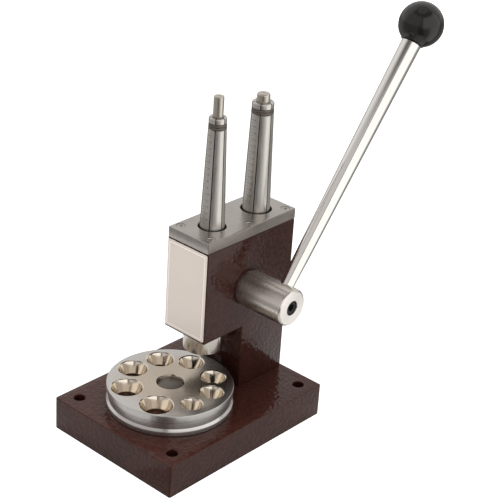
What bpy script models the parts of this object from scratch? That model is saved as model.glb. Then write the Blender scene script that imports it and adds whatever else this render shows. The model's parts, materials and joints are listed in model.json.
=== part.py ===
"""Lever ring stretcher and reducer for a jeweller's bench.

A painted base carries a hollow column and head. One lever turns a pinion in the head. The pinion
moves a crosshead down, which pushes a flat ram towards a turning plate of conical dies, and pulls a
stepped draw rod down through each of two slit mandrels, so that their segments spread.

Metres, +Z up, +Y towards the back, the lever on the +X side. The origin is under the base's centre.
"""

from math import acos, asin, cos, pi, radians, sin, sqrt, tan

import bmesh
import bpy
from mathutils import Matrix, Vector

MM = 0.001
FIT = 0.1 * MM                       # gap between seated pieces
RUN = 0.3 * MM                       # gap between pieces that move past each other

# Base
BASE_WIDTH = 114.3 * MM
BASE_LENGTH = 152.4 * MM
BASE_HEIGHT = 24.9 * MM
BASE_CORNER = 1.5 * MM
BASE_HOLE_RADIUS = 4.0 * MM
BASE_HOLE_X = 45.7 * MM
BASE_HOLE_Y = 63.8 * MM

# Column and head
HEAD_HALF_WIDTH = 19.0 * MM
HEAD_FRONT = -9.2 * MM
HEAD_BACK = 77.6 * MM
HEAD_UNDER = 74.2 * MM
HEAD_TOP = 143.2 * MM
COLUMN_FRONT = 29.2 * MM
COLUMN_BACK = 74.1 * MM
CAVITY_HALF_WIDTH = 11.5 * MM
CAVITY_FRONT = 0.5 * MM
CAVITY_BACK = 69.0 * MM
CAVITY_FLOOR = 86.0 * MM
COLUMN_BOLT_Y = (40.0 * MM, 63.0 * MM)
COLUMN_BOLT_RADIUS = 4.0 * MM
COLUMN_BOLT_DEPTH = 22.0 * MM
COLUMN_BOLT_HEAD_RADIUS = 6.5 * MM
COLUMN_BOLT_HEAD = (2.0 * MM, 9.9 * MM)    # under and top of the head, sunk in the base

# Top plate
PLATE_HALF_WIDTH = 18.8 * MM
PLATE_FRONT = -9.6 * MM
PLATE_BACK = 78.3 * MM
PLATE_THICKNESS = 7.85 * MM
PLATE_TOP = HEAD_TOP + PLATE_THICKNESS
PLATE_SCREW_X = 14.1 * MM
PLATE_SCREW_Y = (-2.5 * MM, 35.0 * MM, 72.5 * MM)
PLATE_SCREW_RADIUS = 1.25 * MM
PLATE_SCREW_HEAD_RADIUS = 2.9 * MM
PLATE_SCREW_LENGTH = 14.0 * MM

# Lever: the shaft lies along X, and the rod leans back by LEVER_TILT from upright
SHAFT_Y = 33.0 * MM
SHAFT_Z = 104.5 * MM
LEVER_TILT = 37.45
LEVER_LENGTH = 215.2 * MM            # shaft axis to the centre of the knob
SHAFT_RADIUS = 7.0 * MM
SHAFT_NECK_RADIUS = 5.0 * MM
SHAFT_COLLAR_RADIUS = 6.0 * MM        # holds the pinion, and clears the rack's teeth
SHAFT_RIGHT = 40.5 * MM
SHAFT_LEFT = -20.5 * MM
BUSH_RIGHT = {"bore": SHAFT_RADIUS, "body": 10.0 * MM, "flange": 12.6 * MM}
BUSH_LEFT = {"bore": SHAFT_NECK_RADIUS, "body": 8.0 * MM, "flange": 10.5 * MM}
BUSH_FLANGE_OUT = HEAD_HALF_WIDTH + 1.2 * MM
BUSH_INNER_END = CAVITY_HALF_WIDTH + FIT
WASHER_RADIUS = 9.0 * MM
WASHER_THICKNESS = 1.5 * MM
SHAFT_SCREW_RADIUS = 1.95 * MM
SHAFT_SCREW_HEAD_RADIUS = 4.4 * MM
SHAFT_SCREW_HEAD_HEIGHT = 2.6 * MM
SHAFT_SCREW_LENGTH = 10.0 * MM
HUB_RADIUS = 13.4 * MM
HUB_START = 20.5 * MM
HUB_END = 59.5 * MM
HUB_FILLET = 2.4 * MM
HUB_RECESS_RADIUS = 5.2 * MM
HUB_RECESS_FLOOR = 52.9 * MM
HUB_SCREW_RADIUS = 2.5 * MM
HUB_SCREW_HEAD_RADIUS = 4.85 * MM
HUB_SCREW_HEAD_END = 58.5 * MM
HUB_SCREW_LENGTH = 10.0 * MM
ROD_X = 47.0 * MM
ROD_RADIUS_HUB = 5.0 * MM
ROD_RADIUS_KNOB = 7.1 * MM
ROD_SEAT = 4.7 * MM                  # distance of the rod's inner end from the shaft axis
KNOB_RADIUS = 16.0 * MM
KNOB_LIP_RADIUS = 8.4 * MM
KNOB_TENON_RADIUS = 4.0 * MM

# Rack and pinion
TEETH = 12
PITCH_RADIUS = 8.0 * MM
PRESSURE_ANGLE = radians(25.0)
ADDENDUM = 1.05 * MM
DEDENDUM = 1.35 * MM
BACKLASH = 0.25 * MM
PINION_HALF_WIDTH = 8.0 * MM
LEVER_SWING = radians(90.0)
STROKE = PITCH_RADIUS * LEVER_SWING

# Crosshead
CROSSHEAD_HALF_WIDTH = 10.7 * MM
CROSSHEAD_FRONT = 1.6 * MM
CROSSHEAD_BACK = 67.6 * MM
CROSSHEAD_BOTTOM = 99.3 * MM
CROSSHEAD_TOP = 136.0 * MM
BEAM_UNDER = 127.0 * MM
BACK_LEG_FRONT = 42.7 * MM

# Ram
RAM_Y = 10.15 * MM
RAM_RADIUS = 14.0 * MM
RAM_FACE = 58.2 * MM
RAM_SHOULDER = 79.9 * MM
RAM_STEM_RADIUS = 9.0 * MM
RAM_SPIGOT_RADIUS = 6.0 * MM
RAM_SPIGOT_TOP = 113.0 * MM
RAM_BUSH_RADIUS = 11.5 * MM

# Mandrels: radii of the tapered outside at the plate and at the top
MANDREL_TOP = 230.4 * MM
SEGMENTS = 6
SLIT = 0.7 * MM
FIRST_SLIT = 30.0
SPREAD = 0.0667                      # how far a segment moves out per unit the rod moves down
CONE_PITCH = 18.0 * MM
CONE_COUNT = 4
CONE_TOP = 226.0 * MM
STEP_HEIGHT = 0.8 * MM
BAND_GROOVE = (222.3 * MM, 226.5 * MM)
BAND_HEIGHT = 1.75 * MM
BAND_MARGIN = 0.25 * MM              # from a band to the nearer side of its groove
FLANGE_UNDER = 139.9 * MM
FLANGE_TOP = 142.9 * MM
MANDRELS = {
    "small": {
        "y": 13.3 * MM, "base": 8.63 * MM, "top": 5.98 * MM, "opening": 9.8 * MM,
        "flange": 11.2 * MM, "pocket": 12.6 * MM, "rod": 3.5 * MM, "rod_top": 244.7 * MM,
        "rod_bevel": 0.5 * MM, "band_floor": 4.75 * MM, "shank": 3.0 * MM,
    },
    "large": {
        "y": 57.5 * MM, "base": 9.76 * MM, "top": 7.55 * MM, "opening": 11.05 * MM,
        "flange": 12.3 * MM, "pocket": 13.6 * MM, "rod": 4.6 * MM, "rod_top": 236.2 * MM,
        "rod_bevel": 1.1 * MM, "band_floor": 6.2 * MM, "shank": 3.6 * MM,
    },
}
SEAT_WASHER_UNDER = 136.4 * MM
SEAT_WASHER_THICKNESS = 3.2 * MM
POCKET_FLOOR = 136.3 * MM
DRAW_ROD_FOOT = 119.0 * MM

# Die plate
DIE_Y = -20.9 * MM
DIE_RADIUS = 44.3 * MM
DIE_GROOVE_RADIUS = 43.0 * MM
DIE_UNDER = 25.2 * MM
DIE_TOP = 41.1 * MM
DIE_LEDGE = 28.4 * MM
DIE_GROOVE = (30.1 * MM, 36.45 * MM)
DIE_PITCH_RADIUS = 31.05 * MM
DIE_NARROWING = 3.2 * MM             # how far each cone closes in on every side
DIE_CONE_DEPTH = 8.6 * MM            # below it the hole goes straight through
DIE_MOUTH = 0.5 * MM
# diameter of each conical hole at the top, and where it stands around the plate
DIES = (
    (22.9 * MM, 297.7), (22.0 * MM, 241.1), (20.7 * MM, 192.9), (19.2 * MM, 148.5),
    (17.9 * MM, 106.6), (17.4 * MM, 60.5), (16.1 * MM, 22.7), (14.6 * MM, 343.6),
)
PIVOT_HEAD_RADIUS = 9.0 * MM
PIVOT_HEAD_TOP = 38.8 * MM
PIVOT_HEAD_UNDER = 32.6 * MM
PIVOT_SHANK_RADIUS = 5.0 * MM
PIVOT_MOUTH_RADIUS = 9.8 * MM
PIVOT_FOOT = 8.0 * MM

LABEL_HALF_WIDTH = 18.3 * MM
LABEL_THICKNESS = 0.7 * MM
LABEL_MARGIN = 0.9 * MM
LABEL_FOOT_MARGIN = 1.7 * MM

AXIS_X = Matrix.Rotation(radians(90.0), 4, "Y")      # turns a Z axis into +X
SHAFT_AXIS = Vector((0.0, SHAFT_Y, SHAFT_Z))


# Helpers

def clear_scene():
    for item in list(bpy.data.objects):
        bpy.data.objects.remove(item)


def material(name, colour, roughness, metallic):
    """A plain Principled material; colour is linear RGB."""
    made = bpy.data.materials.get(name)
    if made:
        return made
    made = bpy.data.materials.new(name)
    made.use_nodes = True
    shader = made.node_tree.nodes["Principled BSDF"]
    shader.inputs["Base Color"].default_value = (*colour, 1.0)
    shader.inputs["Roughness"].default_value = roughness
    shader.inputs["Metallic"].default_value = metallic
    made.diffuse_color = (*colour, 1.0)
    return made


MATERIALS = {
    "paint": ((0.052, 0.030, 0.026), 0.25, 0.0),
    "steel": ((0.50, 0.47, 0.44), 0.28, 1.0),
    "bright_steel": ((0.62, 0.60, 0.57), 0.12, 1.0),
    "plate_steel": ((0.42, 0.40, 0.38), 0.38, 1.0),
    "black_steel": ((0.03, 0.028, 0.027), 0.4, 0.6),
    "bronze": ((0.45, 0.30, 0.14), 0.35, 1.0),
    "label": ((0.60, 0.52, 0.47), 0.4, 0.3),
    "knob": ((0.012, 0.011, 0.011), 0.12, 0.0),
}


def add_object(name, mesh, look, smooth=40.0):
    """Put a mesh in the scene as one named piece; smooth is the sharp-edge angle, 0 for flat."""
    piece = bpy.data.objects.new(name, mesh)
    bpy.context.scene.collection.objects.link(piece)
    mesh.materials.append(material(look, *MATERIALS[look]))
    if smooth:
        mesh.shade_smooth()
        mesh.set_sharp_from_angle(angle=radians(smooth))
    return piece


def mesh_from(name, shape):
    """Finish a bmesh: outward normals, then a mesh."""
    bmesh.ops.recalc_face_normals(shape, faces=shape.faces)
    mesh = bpy.data.meshes.new(name)
    shape.to_mesh(mesh)
    shape.free()
    return mesh


def turned(name, profile, steps=48, closed_loop=False):
    """Turn a profile of (radius, height) points about Z. Radius 0 ends become single points.

    closed_loop joins the last point to the first, for a ring with its own bore.
    """
    shape = bmesh.new()
    rings = []
    for radius, height in profile:
        if radius <= 0.0:
            rings.append([shape.verts.new((0.0, 0.0, height))])
            continue
        ring = []
        for step in range(steps):
            angle = 2.0 * pi * step / steps
            ring.append(shape.verts.new((radius * cos(angle), radius * sin(angle), height)))
        rings.append(ring)
    pairs = list(zip(rings, rings[1:]))
    if closed_loop:
        pairs.append((rings[-1], rings[0]))
    for first, second in pairs:
        for step in range(steps):
            after = (step + 1) % steps
            if len(first) == 1 and len(second) == 1:
                continue
            if len(first) == 1:
                shape.faces.new((first[0], second[step], second[after]))
            elif len(second) == 1:
                shape.faces.new((first[step], first[after], second[0]))
            else:
                shape.faces.new((first[step], first[after], second[after], second[step]))
    if not closed_loop:
        for ring in (rings[0], rings[-1]):
            if len(ring) > 1:
                shape.faces.new(ring)
    return mesh_from(name, shape)


def block(name, low, high):
    """A box between two corners."""
    shape = bmesh.new()
    bmesh.ops.create_cube(shape, size=1.0)
    size = Vector(high) - Vector(low)
    middle = (Vector(high) + Vector(low)) / 2.0
    bmesh.ops.scale(shape, vec=size, verts=shape.verts)
    bmesh.ops.translate(shape, vec=middle, verts=shape.verts)
    return mesh_from(name, shape)


def extruded_x(name, outline, half_width):
    """Extrude a closed (y, z) outline from -half_width to +half_width along X."""
    shape = bmesh.new()
    left = [shape.verts.new((-half_width, y, z)) for y, z in outline]
    right = [shape.verts.new((half_width, y, z)) for y, z in outline]
    shape.faces.new(left)
    shape.faces.new(list(reversed(right)))
    for index in range(len(outline)):
        after = (index + 1) % len(outline)
        shape.faces.new((left[index], right[index], right[after], left[after]))
    return mesh_from(name, shape)


def cut(piece, name, mesh, matrix=None):
    """Cut a closed mesh out of a piece with a Boolean modifier."""
    cutter = bpy.data.objects.new(f"cut_{piece.name}_{name}", mesh)
    bpy.context.scene.collection.objects.link(cutter)
    cutter.hide_render = True
    cutter.display_type = "WIRE"
    if matrix is not None:
        cutter.matrix_world = matrix
    modifier = piece.modifiers.new(f"cut_{name}", "BOOLEAN")
    modifier.operation = "DIFFERENCE"
    modifier.solver = "EXACT"
    modifier.object = cutter
    return cutter


def cylinder(name, radius, low, high, steps=32):
    return turned(name, ((radius, high), (radius, low)), steps)


def soften(piece, width, segments=1, angle=40.0):
    """Break the edges of a piece."""
    modifier = piece.modifiers.new("soft_edges", "BEVEL")
    modifier.width = width
    modifier.segments = segments
    modifier.limit_method = "ANGLE"
    modifier.angle_limit = radians(angle)
    modifier.harden_normals = False


def at(x=0.0, y=0.0, z=0.0):
    return Matrix.Translation((x, y, z))


def along_x(y=SHAFT_Y, z=SHAFT_Z):
    """Frame whose Z axis is the shaft axis, with heights read as world X."""
    return at(0.0, y, z) @ AXIS_X


def tilted(x, tilt):
    """Frame on the shaft axis at x, with Z leaning back from upright by tilt degrees."""
    return at(x, SHAFT_Y, SHAFT_Z) @ Matrix.Rotation(radians(-tilt), 4, "X")


# Frame

def build_base():
    shape = bmesh.new()
    bmesh.ops.create_cube(shape, size=1.0)
    bmesh.ops.scale(shape, vec=(BASE_WIDTH, BASE_LENGTH, BASE_HEIGHT), verts=shape.verts)
    bmesh.ops.translate(shape, vec=(0.0, 0.0, BASE_HEIGHT / 2.0), verts=shape.verts)
    upright = [edge for edge in shape.edges
               if abs(edge.verts[0].co.z - edge.verts[1].co.z) > BASE_HEIGHT / 2.0]
    bmesh.ops.bevel(shape, geom=upright, offset=BASE_CORNER, segments=3, profile=0.5,
                    affect="EDGES")
    base = add_object("base_plate", mesh_from("base_plate", shape), "paint")
    soften(base, 0.7 * MM)
    number = 0
    for x in (-BASE_HOLE_X, BASE_HOLE_X):
        for y in (-BASE_HOLE_Y, BASE_HOLE_Y):
            number += 1
            hole = cylinder("hole", BASE_HOLE_RADIUS, -MM, BASE_HEIGHT + MM, 20)
            cut(base, f"corner_{number}", hole, at(x, y))
    pivot = cylinder("pivot", PIVOT_SHANK_RADIUS + FIT, PIVOT_FOOT - 2.0 * MM,
                     BASE_HEIGHT + MM, 16)
    cut(base, "pivot", pivot, at(0.0, DIE_Y))
    head_room = COLUMN_BOLT_HEAD_RADIUS + 0.5 * MM
    seat_height = COLUMN_BOLT_HEAD[1] + FIT
    for index, y in enumerate(COLUMN_BOLT_Y, start=1):
        seat = turned("bolt_seat", (
            (COLUMN_BOLT_RADIUS + FIT, BASE_HEIGHT + MM),
            (COLUMN_BOLT_RADIUS + FIT, seat_height),
            (head_room, seat_height),
            (head_room, -MM),
        ), 16)
        cut(base, f"bolt_{index}", seat, at(0.0, y))


def build_column_bolts():
    top = BASE_HEIGHT + COLUMN_BOLT_DEPTH - 2.0 * MM
    head_low, head_top = COLUMN_BOLT_HEAD
    for index, y in enumerate(COLUMN_BOLT_Y, start=1):
        name = f"column_bolt_{index}"
        mesh = turned(name, (
            (COLUMN_BOLT_RADIUS - FIT, top),
            (COLUMN_BOLT_RADIUS - FIT, head_top),
            (COLUMN_BOLT_HEAD_RADIUS, head_top),
            (COLUMN_BOLT_HEAD_RADIUS, head_low),
        ), 16)
        bolt = add_object(name, mesh, "black_steel")
        bolt.location = (0.0, y, 0.0)
        cut(bolt, "socket", hexagon("socket", 3.0 * MM, MM, 5.5 * MM), at(0.0, y))


def hexagon(name, half_flats, low, high):
    """A hexagonal prism about Z; half_flats is half the distance across flats."""
    return turned(name, ((half_flats / cos(pi / 6.0), high), (half_flats / cos(pi / 6.0), low)), 6)


def build_frame_body():
    outline = (
        (COLUMN_FRONT, BASE_HEIGHT + FIT), (COLUMN_BACK, BASE_HEIGHT + FIT),
        (COLUMN_BACK, HEAD_UNDER), (HEAD_BACK, HEAD_UNDER), (HEAD_BACK, HEAD_TOP),
        (HEAD_FRONT, HEAD_TOP), (HEAD_FRONT, HEAD_UNDER), (COLUMN_FRONT, HEAD_UNDER),
    )
    body = add_object("frame_body", extruded_x("frame_body", outline, HEAD_HALF_WIDTH), "paint")
    soften(body, 0.6 * MM)
    cut(body, "cavity", block("cavity", (-CAVITY_HALF_WIDTH, CAVITY_FRONT, CAVITY_FLOOR),
                              (CAVITY_HALF_WIDTH, CAVITY_BACK, HEAD_TOP + MM)))
    for size, mandrel in MANDRELS.items():
        pocket = cylinder("pocket", mandrel["pocket"], POCKET_FLOOR, HEAD_TOP + MM, 32)
        cut(body, f"pocket_{size}", pocket, at(0.0, mandrel["y"]))
    right = cylinder("right", BUSH_RIGHT["body"] + FIT, 5.0 * MM, HEAD_HALF_WIDTH + MM, 24)
    cut(body, "bore_right", right, along_x())
    left = cylinder("left", BUSH_LEFT["body"] + FIT, -HEAD_HALF_WIDTH - MM, -5.0 * MM, 24)
    cut(body, "bore_left", left, along_x())
    ram_way = turned("ram_way", (
        (RAM_BUSH_RADIUS + FIT, CAVITY_FLOOR + MM),
        (RAM_BUSH_RADIUS + FIT, RAM_SHOULDER + 0.6 * MM),
        (RAM_RADIUS + 0.5 * MM, RAM_SHOULDER + 0.6 * MM),
        (RAM_RADIUS + 0.5 * MM, HEAD_UNDER - MM),
    ), 32)
    cut(body, "ram_way", ram_way, at(0.0, RAM_Y))
    for index, (x, y) in enumerate(screw_places(), start=1):
        hole = cylinder("screw", PLATE_SCREW_RADIUS, PLATE_TOP - PLATE_SCREW_LENGTH - MM,
                        HEAD_TOP + MM, 8)
        cut(body, f"screw_{index}", hole, at(x, y))
    for index, y in enumerate(COLUMN_BOLT_Y, start=1):
        hole = cylinder("bolt", COLUMN_BOLT_RADIUS, BASE_HEIGHT - MM,
                        BASE_HEIGHT + COLUMN_BOLT_DEPTH, 16)
        cut(body, f"bolt_{index}", hole, at(0.0, y))


def screw_places():
    return [(x, y) for y in PLATE_SCREW_Y for x in (-PLATE_SCREW_X, PLATE_SCREW_X)]


def build_top_plate():
    plate = add_object("top_plate", block(
        "top_plate", (-PLATE_HALF_WIDTH, PLATE_FRONT, HEAD_TOP + FIT),
        (PLATE_HALF_WIDTH, PLATE_BACK, PLATE_TOP)), "plate_steel")
    soften(plate, 0.4 * MM)
    for size, mandrel in MANDRELS.items():
        opening = cylinder("opening", mandrel["opening"], HEAD_TOP - MM, PLATE_TOP + MM, 36)
        cut(plate, f"opening_{size}", opening, at(0.0, mandrel["y"]))
    sink = PLATE_SCREW_HEAD_RADIUS + FIT
    shank = PLATE_SCREW_RADIUS + FIT
    for index, (x, y) in enumerate(screw_places(), start=1):
        hole = turned("sunk", (
            (sink, PLATE_TOP + MM), (sink, PLATE_TOP - 0.35 * MM),
            (shank, PLATE_TOP - 0.35 * MM - (sink - shank)), (shank, HEAD_TOP - MM),
        ), 12)
        cut(plate, f"screw_{index}", hole, at(x, y))


def build_plate_screws():
    head = PLATE_SCREW_HEAD_RADIUS
    shank = PLATE_SCREW_RADIUS - FIT
    for index, (x, y) in enumerate(screw_places(), start=1):
        name = f"top_plate_screw_{index}"
        mesh = turned(name, (
            (head, PLATE_TOP - 0.1 * MM), (head, PLATE_TOP - 0.3 * MM),
            (shank, PLATE_TOP - 0.3 * MM - (head - shank)),
            (shank, PLATE_TOP - PLATE_SCREW_LENGTH),
        ), 12)
        screw = add_object(name, mesh, "steel")
        screw.location = (x, y, 0.0)
        turn = Matrix.Rotation(radians(25.0 + 50.0 * index), 4, "Z")
        for arm, quarter in (("a", 0.0), ("b", 90.0)):
            slot = block("slot", (-1.35 * MM, -0.3 * MM, PLATE_TOP - 1.1 * MM),
                         (1.35 * MM, 0.3 * MM, PLATE_TOP + MM))
            cut(screw, f"cross_{arm}", slot,
                at(x, y) @ turn @ Matrix.Rotation(radians(quarter), 4, "Z"))


def build_label():
    label = add_object("label_plate", block(
        "label_plate",
        (-LABEL_HALF_WIDTH, HEAD_FRONT - FIT - LABEL_THICKNESS, HEAD_UNDER + LABEL_FOOT_MARGIN),
        (LABEL_HALF_WIDTH, HEAD_FRONT - FIT, HEAD_TOP - LABEL_MARGIN)), "label")
    soften(label, 0.15 * MM)


# Lever shaft and its bushes

def build_shaft_bushes():
    for name, bush, side in (("shaft_bush_right", BUSH_RIGHT, 1.0),
                             ("shaft_bush_left", BUSH_LEFT, -1.0)):
        seat = HEAD_HALF_WIDTH + FIT
        mesh = turned(name, (
            (bush["bore"] + FIT, side * BUSH_INNER_END), (bush["body"], side * BUSH_INNER_END),
            (bush["body"], side * seat), (bush["flange"], side * seat),
            (bush["flange"], side * BUSH_FLANGE_OUT),
            (bush["bore"] + FIT, side * BUSH_FLANGE_OUT),
        ), 24, closed_loop=True)
        piece = add_object(name, mesh, "steel")
        piece.matrix_world = along_x()


def build_ram_bush():
    mesh = turned("ram_bush", (
        (RAM_STEM_RADIUS + FIT, CAVITY_FLOOR), (RAM_BUSH_RADIUS, CAVITY_FLOOR),
        (RAM_BUSH_RADIUS, RAM_SHOULDER + 0.7 * MM),
        (RAM_STEM_RADIUS + FIT, RAM_SHOULDER + 0.7 * MM),
    ), 28, closed_loop=True)
    bush = add_object("ram_bush", mesh, "bronze")
    bush.location = (0.0, RAM_Y, 0.0)


def build_shaft():
    screw_hole = SHAFT_SCREW_RADIUS + FIT
    screw_floor = SHAFT_LEFT + SHAFT_SCREW_LENGTH + MM
    end_hole = HUB_SCREW_RADIUS + FIT
    end_floor = SHAFT_RIGHT - HUB_SCREW_LENGTH - 2.0 * MM
    mesh = turned("lever_shaft", (
        (0.0, screw_floor), (screw_hole, screw_floor),
        (screw_hole, SHAFT_LEFT), (SHAFT_NECK_RADIUS, SHAFT_LEFT),
        (SHAFT_NECK_RADIUS, PINION_HALF_WIDTH + FIT),
        (SHAFT_COLLAR_RADIUS, PINION_HALF_WIDTH + FIT),
        (SHAFT_COLLAR_RADIUS, CROSSHEAD_HALF_WIDTH + RUN),
        (SHAFT_RADIUS, CROSSHEAD_HALF_WIDTH + RUN), (SHAFT_RADIUS, SHAFT_RIGHT),
        (end_hole, SHAFT_RIGHT), (end_hole, end_floor), (0.0, end_floor),
    ), 24)
    shaft = add_object("lever_shaft", mesh, "steel")
    shaft.matrix_world = along_x()


def build_shaft_retainer():
    washer_in = SHAFT_LEFT - FIT
    washer_out = washer_in - WASHER_THICKNESS
    bore = SHAFT_SCREW_RADIUS + 0.25 * MM
    mesh = turned("shaft_washer", (
        (bore, washer_in), (WASHER_RADIUS, washer_in), (WASHER_RADIUS, washer_out),
        (bore, washer_out),
    ), 20, closed_loop=True)
    washer = add_object("shaft_washer", mesh, "steel")
    washer.matrix_world = along_x()
    head_in = washer_out - FIT
    head_out = head_in - SHAFT_SCREW_HEAD_HEIGHT
    head = SHAFT_SCREW_HEAD_RADIUS
    mesh = turned("shaft_end_screw", (
        (SHAFT_SCREW_RADIUS, SHAFT_LEFT + SHAFT_SCREW_LENGTH), (SHAFT_SCREW_RADIUS, head_in),
        (head, head_in), (head - 0.2 * MM, head_in - 1.6 * MM), (head - 1.4 * MM, head_out),
    ), 16)
    screw = add_object("shaft_end_screw", mesh, "black_steel")
    screw.matrix_world = along_x()
    cut(screw, "socket", hexagon("socket", 1.5 * MM, head_out - MM, head_out + 1.7 * MM), along_x())


def involute(angle):
    return tan(angle) - angle


def tooth_half_angle(radius):
    """Half the angle that a pinion tooth spans at a radius."""
    base_radius = PITCH_RADIUS * cos(PRESSURE_ANGLE)
    at_pitch = pi / (2.0 * TEETH) - BACKLASH / (2.0 * PITCH_RADIUS) + involute(PRESSURE_ANGLE)
    if radius <= base_radius:
        return at_pitch
    slope = base_radius / radius
    return at_pitch - involute(acos(slope))


def build_pinion():
    root = PITCH_RADIUS - DEDENDUM
    tip = PITCH_RADIUS + ADDENDUM
    flank = (root, PITCH_RADIUS * cos(PRESSURE_ANGLE), PITCH_RADIUS, tip)
    bore = SHAFT_NECK_RADIUS + FIT
    shape = bmesh.new()
    outline = []
    for tooth in range(TEETH):
        middle = 2.0 * pi * tooth / TEETH + pi
        points = [(radius, -tooth_half_angle(radius)) for radius in flank]
        points += [(radius, tooth_half_angle(radius)) for radius in reversed(flank)]
        outline += [(radius, middle + angle) for radius, angle in points]
    left = [shape.verts.new((-PINION_HALF_WIDTH, r * cos(a), r * sin(a))) for r, a in outline]
    face = shape.faces.new(left)
    made = bmesh.ops.extrude_face_region(shape, geom=[face])
    moved = [item for item in made["geom"] if isinstance(item, bmesh.types.BMVert)]
    bmesh.ops.translate(shape, vec=(2.0 * PINION_HALF_WIDTH, 0.0, 0.0), verts=moved)
    pinion = add_object("pinion", mesh_from("pinion", shape), "steel", smooth=20.0)
    pinion.location = SHAFT_AXIS
    cut(pinion, "bore", cylinder("bore", bore, -12.0 * MM, 12.0 * MM, 20), along_x())


def build_hub():
    bore = SHAFT_RADIUS + FIT
    screw_way = HUB_SCREW_RADIUS + 0.2 * MM
    recess = HUB_RECESS_RADIUS
    web = SHAFT_RIGHT + 0.4 * MM
    profile = [(bore, HUB_START), (HUB_RADIUS - 0.5 * MM, HUB_START),
               (HUB_RADIUS, HUB_START + 0.5 * MM)]
    fillet_steps = 3
    for step in range(fillet_steps + 1):
        angle = radians(90.0 * step / fillet_steps)
        profile.append((HUB_RADIUS - HUB_FILLET * (1.0 - cos(angle)),
                        HUB_END - HUB_FILLET * (1.0 - sin(angle))))
    profile += [(recess + 0.3 * MM, HUB_END), (recess, HUB_END - 0.3 * MM),
                (recess, HUB_RECESS_FLOOR), (screw_way, HUB_RECESS_FLOOR), (screw_way, web),
                (bore, web)]
    hub = add_object("lever_hub", turned("lever_hub", profile, 40, closed_loop=True), "steel")
    hub.matrix_world = along_x()
    rod_way = cylinder("rod_way", ROD_RADIUS_HUB + 0.25 * MM, ROD_SEAT - RUN,
                       HUB_RADIUS + 3.0 * MM, 20)
    cut(hub, "rod", rod_way, tilted(ROD_X, LEVER_TILT))

    head_in = HUB_RECESS_FLOOR + 0.2 * MM
    head = HUB_SCREW_HEAD_RADIUS
    mesh = turned("hub_end_screw", (
        (HUB_SCREW_RADIUS, SHAFT_RIGHT - HUB_SCREW_LENGTH), (HUB_SCREW_RADIUS, head_in),
        (head, head_in), (head, HUB_SCREW_HEAD_END - 0.4 * MM),
        (head - 0.4 * MM, HUB_SCREW_HEAD_END),
    ), 20)
    end_screw = add_object("hub_end_screw", mesh, "black_steel")
    end_screw.matrix_world = along_x()
    socket = hexagon("socket", 2.5 * MM, HUB_SCREW_HEAD_END - 3.0 * MM, HUB_SCREW_HEAD_END + MM)
    cut(end_screw, "socket", socket, along_x())


def build_handle():
    rod_end = LEVER_LENGTH - sqrt(KNOB_RADIUS ** 2 - KNOB_LIP_RADIUS ** 2) - 0.9 * MM
    tenon_end = LEVER_LENGTH + 2.0 * MM
    widest = rod_end - 1.0 * MM
    mesh = turned("handle_rod", (
        (ROD_RADIUS_HUB - 0.6 * MM, ROD_SEAT), (ROD_RADIUS_HUB, ROD_SEAT + 0.6 * MM),
        (ROD_RADIUS_HUB, HUB_RADIUS + 1.0 * MM), (ROD_RADIUS_KNOB, widest),
        (ROD_RADIUS_KNOB - 0.6 * MM, rod_end), (KNOB_TENON_RADIUS, rod_end),
        (KNOB_TENON_RADIUS, tenon_end),
    ), 24)
    rod = add_object("handle_rod", mesh, "bright_steel")
    rod.matrix_world = tilted(ROD_X, LEVER_TILT)

    bore = KNOB_TENON_RADIUS + FIT
    lip_height = rod_end + 0.15 * MM
    first = asin(KNOB_LIP_RADIUS / KNOB_RADIUS)
    arc_steps = 9
    arc = []
    for step in range(arc_steps + 1):
        angle = first + (pi - first) * step / arc_steps
        height = LEVER_LENGTH - KNOB_RADIUS * cos(angle)
        arc.append((KNOB_RADIUS * sin(angle) if step < arc_steps else 0.0, height))
    mesh = turned("handle_knob", [
        (0.0, tenon_end + MM), (bore, tenon_end + MM), (bore, lip_height),
        (KNOB_LIP_RADIUS - 0.5 * MM, lip_height), (KNOB_LIP_RADIUS, lip_height + 0.5 * MM),
    ] + arc, 24)
    knob = add_object("handle_knob", mesh, "knob")
    knob.matrix_world = tilted(ROD_X, LEVER_TILT)


# Crosshead, ram and draw rods

def rack_outline():
    """Rack flank points from bottom to top: teeth face +Y and mesh with the pinion's front."""
    pitch = 2.0 * pi * PITCH_RADIUS / TEETH
    line = SHAFT_Y - PITCH_RADIUS
    lean = tan(PRESSURE_ANGLE)
    half_tooth = pitch / 4.0 - BACKLASH / 2.0
    tip = half_tooth - ADDENDUM * lean
    root = half_tooth + DEDENDUM * lean
    points = []
    lowest = -1
    highest = 4
    for index in range(lowest, highest):
        middle = SHAFT_Z + (index + 0.5) * pitch
        points += [(line - DEDENDUM, middle - root), (line + ADDENDUM, middle - tip),
                   (line + ADDENDUM, middle + tip), (line - DEDENDUM, middle + root)]
    return points


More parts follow.
